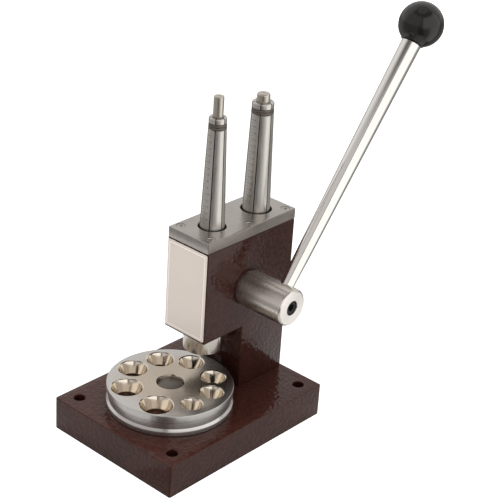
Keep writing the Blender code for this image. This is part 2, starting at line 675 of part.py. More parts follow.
def build_crosshead():
    rack = rack_outline()
    rack_root = SHAFT_Y - PITCH_RADIUS - DEDENDUM
    outline = [(CROSSHEAD_FRONT, CROSSHEAD_BOTTOM), (rack_root, CROSSHEAD_BOTTOM)]
    outline += rack
    outline += [(rack_root, BEAM_UNDER), (BACK_LEG_FRONT, BEAM_UNDER),
                (BACK_LEG_FRONT, CROSSHEAD_BOTTOM), (CROSSHEAD_BACK, CROSSHEAD_BOTTOM),
                (CROSSHEAD_BACK, CROSSHEAD_TOP), (CROSSHEAD_FRONT, CROSSHEAD_TOP)]
    mesh = extruded_x("crosshead", outline, CROSSHEAD_HALF_WIDTH)
    crosshead = add_object("crosshead", mesh, "steel", smooth=0.0)
    for size, mandrel in MANDRELS.items():
        hole = cylinder("rod_hole", mandrel["shank"] + FIT, DRAW_ROD_FOOT - 0.5 * MM,
                        CROSSHEAD_TOP + MM, 16)
        cut(crosshead, f"rod_{size}", hole, at(0.0, mandrel["y"]))
    spigot = cylinder("spigot", RAM_SPIGOT_RADIUS + FIT, CROSSHEAD_BOTTOM - MM,
                      RAM_SPIGOT_TOP + 0.5 * MM, 20)
    cut(crosshead, "ram", spigot, at(0.0, RAM_Y))


def build_ram():
    edge = 0.6 * MM
    mesh = turned("ram", (
        (RAM_SPIGOT_RADIUS, RAM_SPIGOT_TOP), (RAM_SPIGOT_RADIUS, CROSSHEAD_BOTTOM - FIT),
        (RAM_STEM_RADIUS, CROSSHEAD_BOTTOM - FIT), (RAM_STEM_RADIUS, RAM_SHOULDER),
        (RAM_RADIUS, RAM_SHOULDER),
        (RAM_RADIUS, RAM_FACE + edge), (RAM_RADIUS - edge, RAM_FACE),
    ), 32)
    ram = add_object("ram", mesh, "steel")
    ram.location = (0.0, RAM_Y, 0.0)


def cone_steps(radius):
    """(radius, height) points of the wedge cones, from the top one down."""
    narrow = radius - SPREAD * CONE_PITCH
    points = []
    for index in range(CONE_COUNT):
        top = CONE_TOP - index * CONE_PITCH
        points += [(radius, top - (STEP_HEIGHT if index else 0.0)), (narrow, top - CONE_PITCH)]
    return points


def build_draw_rods():
    for size, mandrel in MANDRELS.items():
        radius = mandrel["rod"]
        bottom = CONE_TOP - CONE_COUNT * CONE_PITCH
        name = f"draw_rod_{size}"
        bevel = mandrel["rod_bevel"]
        profile = [(radius - bevel, mandrel["rod_top"]), (radius, mandrel["rod_top"] - bevel)]
        profile += cone_steps(radius)
        profile += [(mandrel["shank"], bottom - STEP_HEIGHT), (mandrel["shank"], DRAW_ROD_FOOT)]
        rod = add_object(name, turned(name, profile, 20), "steel")
        rod.location = (0.0, mandrel["y"], 0.0)


# Mandrels

def outside(mandrel, height):
    """Radius of a mandrel's tapered outside."""
    taper = (mandrel["base"] - mandrel["top"]) / (MANDREL_TOP - PLATE_TOP)
    return mandrel["top"] + taper * (MANDREL_TOP - height)


def segment_profile(mandrel):
    """Closed (radius, height) outline of one mandrel segment, outside first, from the top down."""
    groove_low, groove_high = BAND_GROOVE
    radius = mandrel["rod"]
    gap = RUN
    shoulder = 1.1 * MM
    collar = outside(mandrel, groove_high)
    outline = [
        (collar - shoulder, MANDREL_TOP),
        (collar - 0.3 * shoulder, MANDREL_TOP - 0.35 * shoulder),
        (collar, MANDREL_TOP - shoulder),
        (collar, groove_high), (mandrel["band_floor"], groove_high),
        (mandrel["band_floor"], groove_low), (outside(mandrel, groove_low), groove_low),
        (mandrel["base"], PLATE_TOP), (mandrel["base"], FLANGE_TOP),
        (mandrel["flange"], FLANGE_TOP), (mandrel["flange"], FLANGE_UNDER),
    ]
    bottom = CONE_TOP - CONE_COUNT * CONE_PITCH
    inside = [(radius + gap, MANDREL_TOP)]
    inside += [(r + gap, z + (gap if r < radius else 0.0)) for r, z in cone_steps(radius)]
    inside += [(mandrel["shank"] + gap, bottom - STEP_HEIGHT + gap),
               (mandrel["shank"] + gap, FLANGE_UNDER)]
    return outline + list(reversed(inside))


def build_segments():
    arc_steps = 4
    for size, mandrel in MANDRELS.items():
        outline = segment_profile(mandrel)
        shape = bmesh.new()
        half = pi / SEGMENTS
        sections = []
        for step in range(arc_steps + 1):
            section = []
            for radius, height in outline:
                reach = half - asin(SLIT / (2.0 * radius))
                angle = reach * (2.0 * step / arc_steps - 1.0)
                section.append(shape.verts.new((radius * cos(angle), radius * sin(angle), height)))
            sections.append(section)
        for first, second in zip(sections, sections[1:]):
            for index in range(len(outline)):
                after = (index + 1) % len(outline)
                shape.faces.new((first[index], second[index], second[after], first[after]))
        shape.faces.new(sections[0])
        shape.faces.new(sections[-1])
        mesh = mesh_from(f"{size}_segment", shape)
        for number in range(SEGMENTS):
            name = f"{size}_segment_{number + 1}"
            piece = add_object(name, mesh if number == 0 else mesh.copy(), "steel", smooth=30.0)
            piece.location = (0.0, mandrel["y"], 0.0)
            piece.rotation_euler = (0.0, 0.0, radians(segment_heading(number)))


def segment_heading(number):
    """Direction in which a segment moves out, in degrees about +Z from +X."""
    return FIRST_SLIT - 90.0 + (number + 0.5) * 360.0 / SEGMENTS


def build_seat_washers():
    for size, mandrel in MANDRELS.items():
        name = f"{size}_seat_washer"
        top = SEAT_WASHER_UNDER + SEAT_WASHER_THICKNESS
        outer = mandrel["pocket"] - FIT
        inner = mandrel["shank"] + 0.5 * MM
        mesh = turned(name, ((inner, top), (outer, top), (outer, SEAT_WASHER_UNDER),
                             (inner, SEAT_WASHER_UNDER)), 28, closed_loop=True)
        washer = add_object(name, mesh, "steel")
        washer.location = (0.0, mandrel["y"], 0.0)


def build_bands():
    groove_low, groove_high = BAND_GROOVE
    for size, mandrel in MANDRELS.items():
        clear = mandrel["band_floor"] + SPREAD * STROKE + 0.15 * MM
        for level, low in (("lower", groove_low + BAND_MARGIN),
                           ("upper", groove_high - BAND_MARGIN - BAND_HEIGHT)):
            middle = low + BAND_HEIGHT / 2.0
            outer = outside(mandrel, middle) + 0.05 * MM
            name = f"{size}_band_{level}"
            mesh = turned(name, (
                (clear, low + BAND_HEIGHT), (outer - 0.2 * MM, low + BAND_HEIGHT), (outer, middle),
                (outer - 0.2 * MM, low), (clear, low),
            ), 24, closed_loop=True)
            band = add_object(name, mesh, "black_steel")
            band.location = (0.0, mandrel["y"], 0.0)


# Dies

def build_die_plate():
    groove_low, groove_high = DIE_GROOVE
    edge = 0.45 * MM
    mesh = turned("die_plate", (
        (DIE_RADIUS - edge, DIE_TOP), (DIE_RADIUS, DIE_TOP - edge), (DIE_RADIUS, groove_high),
        (DIE_GROOVE_RADIUS, groove_high), (DIE_GROOVE_RADIUS, groove_low),
        (DIE_RADIUS, DIE_LEDGE), (DIE_RADIUS, DIE_UNDER),
    ), 64)
    plate = add_object("die_plate", mesh, "steel")
    plate.location = (0.0, DIE_Y, 0.0)
    bore = turned("pivot_bore", (
        (PIVOT_MOUTH_RADIUS, DIE_TOP + MM), (PIVOT_MOUTH_RADIUS, DIE_TOP),
        (PIVOT_HEAD_RADIUS + 0.2 * MM, PIVOT_HEAD_TOP),
        (PIVOT_HEAD_RADIUS + 0.2 * MM, PIVOT_HEAD_UNDER - 0.2 * MM),
        (PIVOT_SHANK_RADIUS + 0.2 * MM, PIVOT_HEAD_UNDER - 0.2 * MM),
        (PIVOT_SHANK_RADIUS + 0.2 * MM, DIE_UNDER - MM),
    ), 24)
    cut(plate, "pivot", bore, at(0.0, DIE_Y))
    for index, (diameter, heading) in enumerate(DIES, start=1):
        top = diameter / 2.0
        throat = top - DIE_NARROWING
        edge = top - DIE_MOUTH * DIE_NARROWING / DIE_CONE_DEPTH
        mouth = top + DIE_MOUTH
        hole = turned("die", (
            (mouth, DIE_TOP + MM), (mouth, DIE_TOP), (edge, DIE_TOP - DIE_MOUTH),
            (throat, DIE_TOP - DIE_CONE_DEPTH), (throat, DIE_UNDER - MM),
        ), 20)
        x = DIE_PITCH_RADIUS * cos(radians(heading))
        y = DIE_Y + DIE_PITCH_RADIUS * sin(radians(heading))
        cut(plate, f"die_{index}", hole, at(x, y))


def build_pivot_bolt():
    edge = 0.3 * MM
    mesh = turned("die_pivot_bolt", (
        (PIVOT_HEAD_RADIUS - edge, PIVOT_HEAD_TOP), (PIVOT_HEAD_RADIUS, PIVOT_HEAD_TOP - edge),
        (PIVOT_HEAD_RADIUS, PIVOT_HEAD_UNDER), (PIVOT_SHANK_RADIUS, PIVOT_HEAD_UNDER),
        (PIVOT_SHANK_RADIUS, PIVOT_FOOT),
    ), 24)
    bolt = add_object("die_pivot_bolt", mesh, "plate_steel")
    bolt.location = (0.0, DIE_Y, 0.0)


def build():
    clear_scene()
    build_base()
    build_column_bolts()
    build_frame_body()
    build_top_plate()
    build_plate_screws()
    build_label()
    build_shaft_bushes()
    build_ram_bush()
    build_shaft()
    build_shaft_retainer()
    build_pinion()
    build_hub()
    build_handle()
    build_crosshead()
    build_ram()
    build_draw_rods()
    build_segments()
    build_seat_washers()
    build_bands()
    build_die_plate()
    build_pivot_bolt()


build()
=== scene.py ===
"""Looks for the lever ring stretcher and reducer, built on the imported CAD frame.

Every turned, bored or bevelled piece that shows is rebuilt here with a fine mesh in the place
its CAD node holds, and what stays hidden keeps its CAD mesh. All materials are procedural.
"""

import json
from math import asin, cos, degrees, pi, radians, sin, sqrt

import bmesh
import bpy
from mathutils import Matrix, Vector


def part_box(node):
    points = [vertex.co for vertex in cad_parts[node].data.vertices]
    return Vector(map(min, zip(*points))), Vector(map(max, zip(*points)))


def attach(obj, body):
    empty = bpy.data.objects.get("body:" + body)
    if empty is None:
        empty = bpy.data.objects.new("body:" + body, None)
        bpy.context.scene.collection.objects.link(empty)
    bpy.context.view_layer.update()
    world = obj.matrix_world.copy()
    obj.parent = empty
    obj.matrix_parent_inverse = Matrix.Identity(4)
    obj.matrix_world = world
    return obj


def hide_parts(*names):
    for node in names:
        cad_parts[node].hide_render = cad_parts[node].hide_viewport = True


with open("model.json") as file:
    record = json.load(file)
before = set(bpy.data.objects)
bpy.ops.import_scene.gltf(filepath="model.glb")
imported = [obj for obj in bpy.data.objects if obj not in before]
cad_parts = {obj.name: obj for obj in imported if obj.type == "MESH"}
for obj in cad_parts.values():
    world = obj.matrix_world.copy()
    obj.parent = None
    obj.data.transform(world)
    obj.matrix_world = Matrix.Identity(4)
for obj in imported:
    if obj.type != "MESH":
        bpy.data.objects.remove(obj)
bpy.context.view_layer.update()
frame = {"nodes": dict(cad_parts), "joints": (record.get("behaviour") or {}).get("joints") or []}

MM = 0.001


# Places taken from the frame

def low(node):
    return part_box(node)[0]


def high(node):
    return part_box(node)[1]


def middle(node):
    return (low(node) + high(node)) / 2.0


def joint(name):
    return next(item for item in frame["joints"] if item["name"] == name)


def placed(name, data):
    """A new object in the scene."""
    made = bpy.data.objects.new(name, data)
    bpy.context.scene.collection.objects.link(made)
    return made


SHAFT = Vector(joint("lever_pull")["pos_m"])
DIE_AXIS = Vector(joint("die_plate_turn")["pos_m"])
PLATE_TOP = high("top_plate").z
PLATE_UNDER = low("top_plate").z
MANDREL_Y = {size: middle(f"draw_rod_{size}").y for size in ("small", "large")}
MANDREL_TOP = high("small_segment_1").z
SEGMENTS = 6                # jaws to a mandrel
SLIT = 0.7 * MM             # between two jaws
SPREAD = 0.0667             # how far a jaw moves out for each unit that the draw rod drops
STROKE = joint("cross_slide_travel")["range_m"][1]
LEVER_TILT = radians(37.45)  # the rod leans back by this much at rest


# Camera, light and floor

CAMERA_AZIMUTH = radians(40.77)
CAMERA_ELEVATION = radians(26.735)
CAMERA_ROLL = radians(3.883)
CAMERA_DISTANCE = 1.0296
CAMERA_AIM_HEIGHT = 0.09144
CAMERA_SIDE = 0.0382
CAMERA_RISE = 0.04047
CAMERA_LENS = 107.6
CAMERA_SENSOR = 36.0

# The walls of the studio as soft panels of light: colour, strength, heading, half width, softness
# of the sides, lowest and highest elevation and softness of those two. Angles are in degrees.
WHITE = (1.0, 0.985, 0.965)
PANELS = (
    (WHITE, 1.25, 3.0, 50.0, 2.0, -4.0, 50.0, 8.0),                   # right wall
    (WHITE, 0.30, 7.0, 45.0, 3.0, -65.0, -4.0, 8.0),                  # its glow on the table
    (WHITE, 1.00, 17.0, 23.0, 12.0, -65.0, -4.0, 8.0),
    ((1.0, 0.96, 0.955), 0.31, -124.0, 57.0, 4.0, -65.0, 12.0, 6.0),  # front left, low
    ((1.0, 0.965, 0.96), 0.57, -106.0, 52.0, 3.0, 8.0, 54.0, 6.0),    # front left, high
    ((1.0, 0.98, 0.965), 0.78, 130.0, 75.0, 10.0, 2.0, 66.0, 8.0),    # back wall
    ((0.97, 1.0, 0.95), 0.22, 130.0, 75.0, 12.0, -60.0, 2.0, 8.0),    # its glow on the table
    ((1.0, 0.99, 0.98), 0.60, 0.0, 180.0, 0.0, 72.0, 89.0, 5.0),      # ceiling
)
AMBIENT = (0.10, 0.094, 0.088)

TABLE_RADIUS = 1.0
TABLE_TONE, TABLE_DEPTH = 0.92, 1.4 * MM
SHEET_RADIUS = 0.27
SHEET_TONE, SHEET_DEPTH = 0.44, 0.6 * MM
SHEET_HEADINGS = range(-36, 292, 4)
GROUND_RADIUS, GROUND_DEPTH = 60.0, 4.0 * MM


def build_camera():
    azimuth, elevation = CAMERA_AZIMUTH, CAMERA_ELEVATION
    back = Vector((sin(azimuth) * cos(elevation), -cos(azimuth) * cos(elevation), sin(elevation)))
    level = Vector((cos(azimuth), sin(azimuth), 0.0))
    upright = back.cross(level)
    right = cos(CAMERA_ROLL) * level + sin(CAMERA_ROLL) * upright
    up = cos(CAMERA_ROLL) * upright - sin(CAMERA_ROLL) * level
    place = Vector((0.0, 0.0, CAMERA_AIM_HEIGHT)) + back * CAMERA_DISTANCE
    place += right * CAMERA_SIDE + up * CAMERA_RISE
    data = bpy.data.cameras.new("camera")
    data.lens = CAMERA_LENS
    data.sensor_width = CAMERA_SENSOR
    camera = placed("camera", data)
    matrix = Matrix((right, up, back)).transposed().to_4x4()
    matrix.translation = place
    camera.matrix_world = matrix
    bpy.context.scene.camera = camera


def area_light(name, place, aim, size, power):
    data = bpy.data.lights.new(name, "AREA")
    data.shape = "RECTANGLE"
    data.size = data.size_y = size
    data.energy = power
    light = placed(name, data)
    light.location = place
    direction = Vector(aim) - Vector(place)
    light.rotation_euler = direction.to_track_quat("-Z", "Y").to_euler()
    return light


class Studio:
    """World nodes: soft panels around the table, told apart by heading and elevation."""

    def __init__(self):
        self.world = bpy.data.worlds.new("studio")
        self.world.use_nodes = True
        self.tree = self.world.node_tree
        coordinates = self.tree.nodes.new("ShaderNodeTexCoord")
        unit = self.vector("NORMALIZE", coordinates.outputs["Generated"])
        split = self.tree.nodes.new("ShaderNodeSeparateXYZ")
        self.tree.links.new(unit, split.inputs[0])
        self.rise = split.outputs["Z"]
        self.flat = self.vector("NORMALIZE", self.vector("MULTIPLY", unit, (1.0, 1.0, 0.0)))
        self.total = None

    def vector(self, operation, first, second=None):
        made = self.tree.nodes.new("ShaderNodeVectorMath")
        made.operation = operation
        self.tree.links.new(first, made.inputs[0])
        if isinstance(second, tuple):
            made.inputs[1].default_value = second
        elif second is not None:
            self.tree.links.new(second, made.inputs[1])
        return made.outputs["Value" if operation == "DOT_PRODUCT" else "Vector"]

    def ramp(self, value, dark, bright):
        made = self.tree.nodes.new("ShaderNodeMapRange")
        made.interpolation_type = "SMOOTHSTEP"
        self.tree.links.new(value, made.inputs["Value"])
        made.inputs["From Min"].default_value = dark
        made.inputs["From Max"].default_value = bright
        return made.outputs["Result"]

    def times(self, first, second):
        made = self.tree.nodes.new("ShaderNodeMath")
        made.operation = "MULTIPLY"
        self.tree.links.new(first, made.inputs[0])
        self.tree.links.new(second, made.inputs[1])
        return made.outputs[0]

    def panel(self, colour, strength, heading, half_width, edge, lowest, highest, slope):
        """Add light between two elevations around a heading, or all round at 180 degrees."""
        centre = (cos(radians(heading)), sin(radians(heading)), 0.0)
        facing = self.vector("DOT_PRODUCT", self.flat, centre)
        below = self.ramp(self.rise, sin(radians(lowest - slope)), sin(radians(lowest + slope)))
        above = self.ramp(self.rise, sin(radians(highest + slope)), sin(radians(highest - slope)))
        mask = self.times(below, above)
        if half_width < 180.0:
            side = self.ramp(facing, cos(radians(min(180.0, half_width + edge))),
                             cos(radians(half_width - edge)))
            mask = self.times(mask, side)
        made = self.tree.nodes.new("ShaderNodeVectorMath")
        made.operation = "SCALE"
        made.inputs[0].default_value = tuple(channel * strength for channel in colour)
        self.tree.links.new(mask, made.inputs["Scale"])
        self.add(made.outputs[0])

    def add(self, output):
        self.total = output if self.total is None else self.vector("ADD", self.total, output)

    def finish(self, ambient):
        glow = self.vector("ADD", self.total, ambient)
        background = self.tree.nodes["Background"]
        self.tree.links.new(glow, background.inputs["Color"])
        background.inputs["Strength"].default_value = 1.0
        bpy.context.scene.world = self.world


def build_lights():
    """An overhead softbox lights the table; the metal mirrors the softer panels around it."""
    overhead = area_light("overhead", (-0.1, 0.1, 1.5), (0.0, 0.05, 0.0), 1.8, 42.0)
    overhead.visible_glossy = False
    studio = Studio()
    for panel in PANELS:
        studio.panel(*panel)
    studio.finish(AMBIENT)
    bpy.context.scene.view_settings.view_transform = "Standard"


def flat_piece(name, outline, look):
    """A flat face with the given (x, y) outline, at z = 0."""
    mesh = bpy.data.meshes.new(name)
    mesh.from_pydata([(x, y, 0.0) for x, y in outline], [], [tuple(range(len(outline)))])
    mesh.materials.append(look.material)
    return placed(name, mesh)


def circle_points(radius, headings):
    """(x, y) points of a circle about the origin, at headings in degrees."""
    return [(radius * cos(radians(heading)), radius * sin(radians(heading)))
            for heading in headings]


def build_floor():
    """A white ground for the camera, with two surfaces on it that only the light meets.

    The table throws light back on the tool, and the greyer sheet stands in for it in
    reflections. The sheet leaves out the wedge towards the camera, where a studio is dark.
    """
    circle = range(0, 360, 5)
    sheet = [(0.0, 0.0)] + circle_points(SHEET_RADIUS, SHEET_HEADINGS)
    for name, tone, outline, depth in (
            ("table", TABLE_TONE, circle_points(TABLE_RADIUS, circle), TABLE_DEPTH),
            ("sheet", SHEET_TONE, sheet, SHEET_DEPTH)):
        look = Look(f"studio_{name}", (tone, tone, tone), roughness=0.9)
        look.colour_between(look.noise(scale=6.0, detail=2.0), (tone - 0.01,) * 3,
                            (tone + 0.01,) * 3)
        floor = flat_piece(name, outline, look)
        floor.location = (0.0, DIE_AXIS.y, -depth)
        floor.visible_glossy = name == "sheet"
        floor.visible_camera = False
        floor.visible_diffuse = name == "table"
        floor.visible_shadow = name == "table"
    backdrop = Look("studio_backdrop", (0.9, 0.9, 0.9), roughness=1.0)
    backdrop.set(Emission_Color=(1.0, 1.0, 1.0, 1.0), Emission_Strength=1.0)
    far = flat_piece("backdrop", circle_points(GROUND_RADIUS, circle), backdrop)
    far.location = (0.0, 0.0, -GROUND_DEPTH)
    far.visible_glossy = far.visible_diffuse = far.visible_shadow = False


# Materials

class Look:
    """A Principled material whose detail comes from nodes."""

    def __init__(self, name, colour, roughness, metallic=0.0):
        self.material = bpy.data.materials.new(name)
        self.material.use_nodes = True
        self.tree = self.material.node_tree
        self.shader = self.tree.nodes["Principled BSDF"]
        self.shader.inputs["Base Color"].default_value = (*colour, 1.0)
        self.shader.inputs["Roughness"].default_value = roughness
        self.shader.inputs["Metallic"].default_value = metallic
        coordinates = self.tree.nodes.new("ShaderNodeTexCoord")
        self.place = coordinates.outputs["Object"]
        self.normal = None

    def set(self, **values):
        for name, value in values.items():
            self.shader.inputs[name.replace("_", " ")].default_value = value

    def node(self, kind, **values):
        made = self.tree.nodes.new(kind)
        for name, value in values.items():
            setattr(made, name, value)
        return made

    def link(self, output, socket):
        self.tree.links.new(output, socket)

    def stretched(self, scale):
        """Object coordinates scaled along each axis."""
        mapping = self.node("ShaderNodeMapping")
        self.link(self.place, mapping.inputs["Vector"])
        mapping.inputs["Scale"].default_value = scale
        return mapping.outputs["Vector"]

    def noise(self, scale, detail, vector=None):
        made = self.node("ShaderNodeTexNoise")
        made.inputs["Scale"].default_value = scale
        made.inputs["Detail"].default_value = detail
        self.link(vector or self.place, made.inputs["Vector"])
        return made.outputs["Fac"]

    def cells(self, scale, vector, smooth):
        made = self.node("ShaderNodeTexVoronoi", feature="SMOOTH_F1")
        made.inputs["Scale"].default_value = scale
        made.inputs["Smoothness"].default_value = smooth
        self.link(vector, made.inputs["Vector"])
        return made.outputs["Distance"]

    def math(self, operation, first, second=None):
        made = self.node("ShaderNodeMath", operation=operation)
        for index, value in enumerate((first, second)):
            if value is None:
                continue
            if isinstance(value, (int, float)):
                made.inputs[index].default_value = value
            else:
                self.link(value, made.inputs[index])
        return made.outputs[0]

    def spread(self, value, from_low, from_high, to_low, to_high):
        made = self.node("ShaderNodeMapRange")
        self.link(value, made.inputs["Value"])
        for name, number in (("From Min", from_low), ("From Max", from_high),
                             ("To Min", to_low), ("To Max", to_high)):
            made.inputs[name].default_value = number
        return made.outputs["Result"]

    def colour_between(self, factor, first, second):
        made = self.node("ShaderNodeMix", data_type="RGBA")
        self.link(factor, made.inputs["Factor"])
        made.inputs["A"].default_value = (*first, 1.0)
        made.inputs["B"].default_value = (*second, 1.0)
        self.link(made.outputs["Result"], self.shader.inputs["Base Color"])
        return made.outputs["Result"]

    def roughness_from(self, value, smallest, largest):
        """Roughness that follows a noise, whose values lie mostly between 0.3 and 0.7."""
        self.link(self.spread(value, 0.3, 0.7, smallest, largest),
                  self.shader.inputs["Roughness"])

    def bump(self, height, strength, distance):
        """Add a bump on top of those already there."""
        made = self.node("ShaderNodeBump")
        made.inputs["Strength"].default_value = strength
        made.inputs["Distance"].default_value = distance
        self.link(height, made.inputs["Height"])
        if self.normal:
            self.link(self.normal, made.inputs["Normal"])
        self.normal = made.outputs["Normal"]
        self.link(self.normal, self.shader.inputs["Normal"])

    def radius_about(self, axis, origin):
        """Distance from an axis through origin, and height along it."""
        shift = self.node("ShaderNodeVectorMath", operation="SUBTRACT")
        self.link(self.place, shift.inputs[0])
        shift.inputs[1].default_value = origin
        split = self.node("ShaderNodeSeparateXYZ")
        self.link(shift.outputs[0], split.inputs[0])
        across = [split.outputs[index] for index in range(3) if index != axis]
        squares = [self.math("MULTIPLY", item, item) for item in across]
        radius = self.math("SQRT", self.math("ADD", *squares))
        return radius, split.outputs[axis]


STEEL = (0.60, 0.575, 0.545)
WARM_STEEL = (0.68, 0.635, 0.59)
GREY_STEEL = (0.46, 0.435, 0.41)
FINE_GRAIN = 0.04 * MM      # depth of the grain in metal and print
RING_PITCH = 0.22 * MM      # between the rings that a lathe leaves
RING_SLANT = 0.83           # so that the rings also run along a turned side
X, Z = 0, 2                 # axes that a piece was turned about


def hammertone_paint():
    """Glossy brown hammer finish: shallow dimples under a clear film."""
    look = Look("brown_hammertone", (0.040, 0.018, 0.014), 0.36)
    wander = look.noise(scale=160.0, detail=2.0)
    shift = look.node("ShaderNodeVectorMath", operation="MULTIPLY_ADD")
    combine = look.node("ShaderNodeCombineXYZ")
    for socket in combine.inputs:
        look.link(wander, socket)
    look.link(combine.outputs[0], shift.inputs[0])
    shift.inputs[1].default_value = (1.6 * MM,) * 3
    look.link(look.place, shift.inputs[2])
    dimples = look.cells(400.0, shift.outputs[0], smooth=0.8)
    cloud = look.noise(scale=45.0, detail=3.0)
    look.colour_between(look.spread(look.math("ADD", dimples, cloud), 0.5, 1.2, 0.0, 1.0),
                        (0.037, 0.0110, 0.0076), (0.0235, 0.0066, 0.0045))
    look.roughness_from(cloud, 0.28, 0.40)
    look.set(Coat_Weight=0.74, Coat_Roughness=0.035, Coat_IOR=1.36, Specular_IOR_Level=0.05)
    look.bump(dimples, 0.5, 0.5 * MM)
    look.bump(look.noise(scale=1400.0, detail=2.0), 0.06, 0.08 * MM)
    film = look.node("ShaderNodeBump")
    film.inputs["Strength"].default_value = 0.6
    film.inputs["Distance"].default_value = 0.4 * MM
    look.link(dimples, film.inputs["Height"])
    look.link(film.outputs["Normal"], look.shader.inputs["Coat Normal"])
    return look.material


def steel(name, colour, roughness, grain=(1.0, 1.0, 1.0), grain_scale=900.0, depth=0.1,
          spot=(0.92, 1.04)):
    """Machined steel: grain is how far the marks are squeezed along each axis."""
    look = Look(name, colour, roughness, 1.0)
    fine = look.noise(grain_scale, 4.0, look.stretched(grain))
    cloud = look.noise(55.0, 3.0)
    dark = tuple(channel * spot[0] for channel in colour)
    light = tuple(min(1.0, channel * spot[1]) for channel in colour)
    look.colour_between(look.math("MULTIPLY", look.math("ADD", fine, cloud), 0.5), dark, light)
    look.roughness_from(fine, roughness * 0.8, roughness * 1.25)
    look.bump(fine, depth, FINE_GRAIN)
    return look


def turned_steel(name, colour, roughness, axis, origin, depth=0.12, stretch=0.6, painted_rim_light=None,
                 rim_light_from=0.0, rim_light_to=1.0):
    """Steel off a lathe: fine rings about an axis, broken by noise, with glints across them.

    If a rim colour is given, the colour turns into it between the two rim radii, towards the
    outside: a painted reflection, lighter towards the rim, which leaves the middle darker as
    painted shade.
    """
    look = Look(name, colour, roughness, 1.0)
    around = look.node("ShaderNodeTangent", direction_type="RADIAL", axis="XYZ"[axis])
    look.link(around.outputs[0], look.shader.inputs["Tangent"])
    look.set(Anisotropic=stretch, Anisotropic_Rotation=0.25)
    radius, along = look.radius_about(axis, origin)
    path = look.math("ADD", radius, look.math("MULTIPLY", along, RING_SLANT))
    rings = look.node("ShaderNodeTexNoise", noise_dimensions="1D")
    rings.inputs["Scale"].default_value = 1.0
    rings.inputs["Detail"].default_value = 3.0
    look.link(look.math("MULTIPLY", path, 1.0 / RING_PITCH), rings.inputs["W"])
    cloud = look.noise(60.0, 3.0)
    mixed = look.math("MULTIPLY", look.math("ADD", rings.outputs["Fac"], cloud), 0.5)
    inner = look.colour_between(mixed, tuple(channel * 0.9 for channel in colour),
                                tuple(min(1.0, channel * 1.05) for channel in colour))
    # Painted reflection towards the rim, with painted shade left in the middle.
    if painted_rim_light:
        outward = look.math("ADD", radius, look.math("MULTIPLY", cloud, 6.0 * MM))
        made = look.node("ShaderNodeMix", data_type="RGBA")
        look.link(look.spread(outward, rim_light_from, rim_light_to, 0.0, 1.0), made.inputs["Factor"])
        look.link(inner, made.inputs["A"])
        made.inputs["B"].default_value = (*painted_rim_light, 1.0)
        look.link(made.outputs["Result"], look.shader.inputs["Base Color"])
    look.roughness_from(rings.outputs["Fac"], roughness * 0.75, roughness * 1.3)
    look.bump(rings.outputs["Fac"], depth, 0.03 * MM)
    return look


def black_plastic():
    look = Look("black_knob", (0.007, 0.0062, 0.006), 0.18)
    look.set(Specular_IOR_Level=0.36, Coat_Weight=0.1, Coat_Roughness=0.05)
    haze = look.noise(70.0, 4.0)
    look.colour_between(haze, (0.0055, 0.0048, 0.0045), (0.0095, 0.0085, 0.008))
    look.roughness_from(haze, 0.13, 0.24)
    look.bump(look.noise(500.0, 2.0), 0.02, 0.05 * MM)
    return look.material


def grainy(name, metallic, grain, dark, light, smoothest, roughest, depth=0.0):
    """A finish whose colour, roughness and relief all follow one grain: (scale, detail)."""
    look = Look(name, dark, smoothest, metallic)
    grain = look.noise(*grain)
    look.colour_between(grain, dark, light)
    look.roughness_from(grain, smoothest, roughest)
    if depth:
        look.bump(grain, depth, FINE_GRAIN)
    return look.material


def black_oxide():
    return grainy("black_oxide", 0.7, (900.0, 4.0), (0.020, 0.019, 0.018), (0.045, 0.042, 0.040),
                  0.34, 0.5, 0.15)


def label_finish():
    """Blank plate: pale satin with a faint pink-beige print and a soft grain."""
    look = Look("blank_label", (0.59, 0.53, 0.475), 0.40, 0.12)
    cloud = look.noise(38.0, 3.0)
    look.colour_between(cloud, (0.575, 0.515, 0.465), (0.61, 0.545, 0.49))
    fine = look.noise(1600.0, 2.0)
    look.roughness_from(fine, 0.32, 0.44)
    look.bump(fine, 0.05, FINE_GRAIN)
    return look.material


def label_border_finish():
    return grainy("label_border", 0.1, (1200.0, 3.0), (0.80, 0.75, 0.71), (0.85, 0.80, 0.76),
                  0.25, 0.36)


def ink_finish():
    return grainy("engraving", 0.4, (2500.0, 3.0), (0.07, 0.065, 0.06), (0.17, 0.155, 0.15),
                  0.45, 0.65)


def band_finish():
    return grainy("dark_band", 0.85, (1100.0, 3.0), (0.10, 0.085, 0.075), (0.20, 0.17, 0.15),
                  0.36, 0.55, 0.1)


def bronze_finish():
    return steel("bronze", (0.55, 0.36, 0.17), 0.3, grain_scale=1200.0).material


# Mesh helpers

def piece_from(name, mesh, look, body, smooth=35.0, instead=()):
    """Put a finished mesh in the scene, riding on a body."""
    made = placed(name, mesh)
    if not mesh.materials:
        mesh.materials.append(look)
    mesh.shade_smooth()
    mesh.set_sharp_from_angle(angle=radians(smooth))
    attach(made, body)
    if instead:
        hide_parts(*instead)
    return made


def mesh_of(name, shape):
    bmesh.ops.recalc_face_normals(shape, faces=shape.faces)
    mesh = bpy.data.meshes.new(name)
    shape.to_mesh(mesh)
    shape.free()
    return mesh


def arc(centre, radius, start, stop, steps):
    """(radius, height) points along an arc; angles in degrees."""
    points = []
    for step in range(steps + 1):
        angle = radians(start + (stop - start) * step / steps)
        points.append((centre[0] + radius * cos(angle), centre[1] + radius * sin(angle)))
    return points


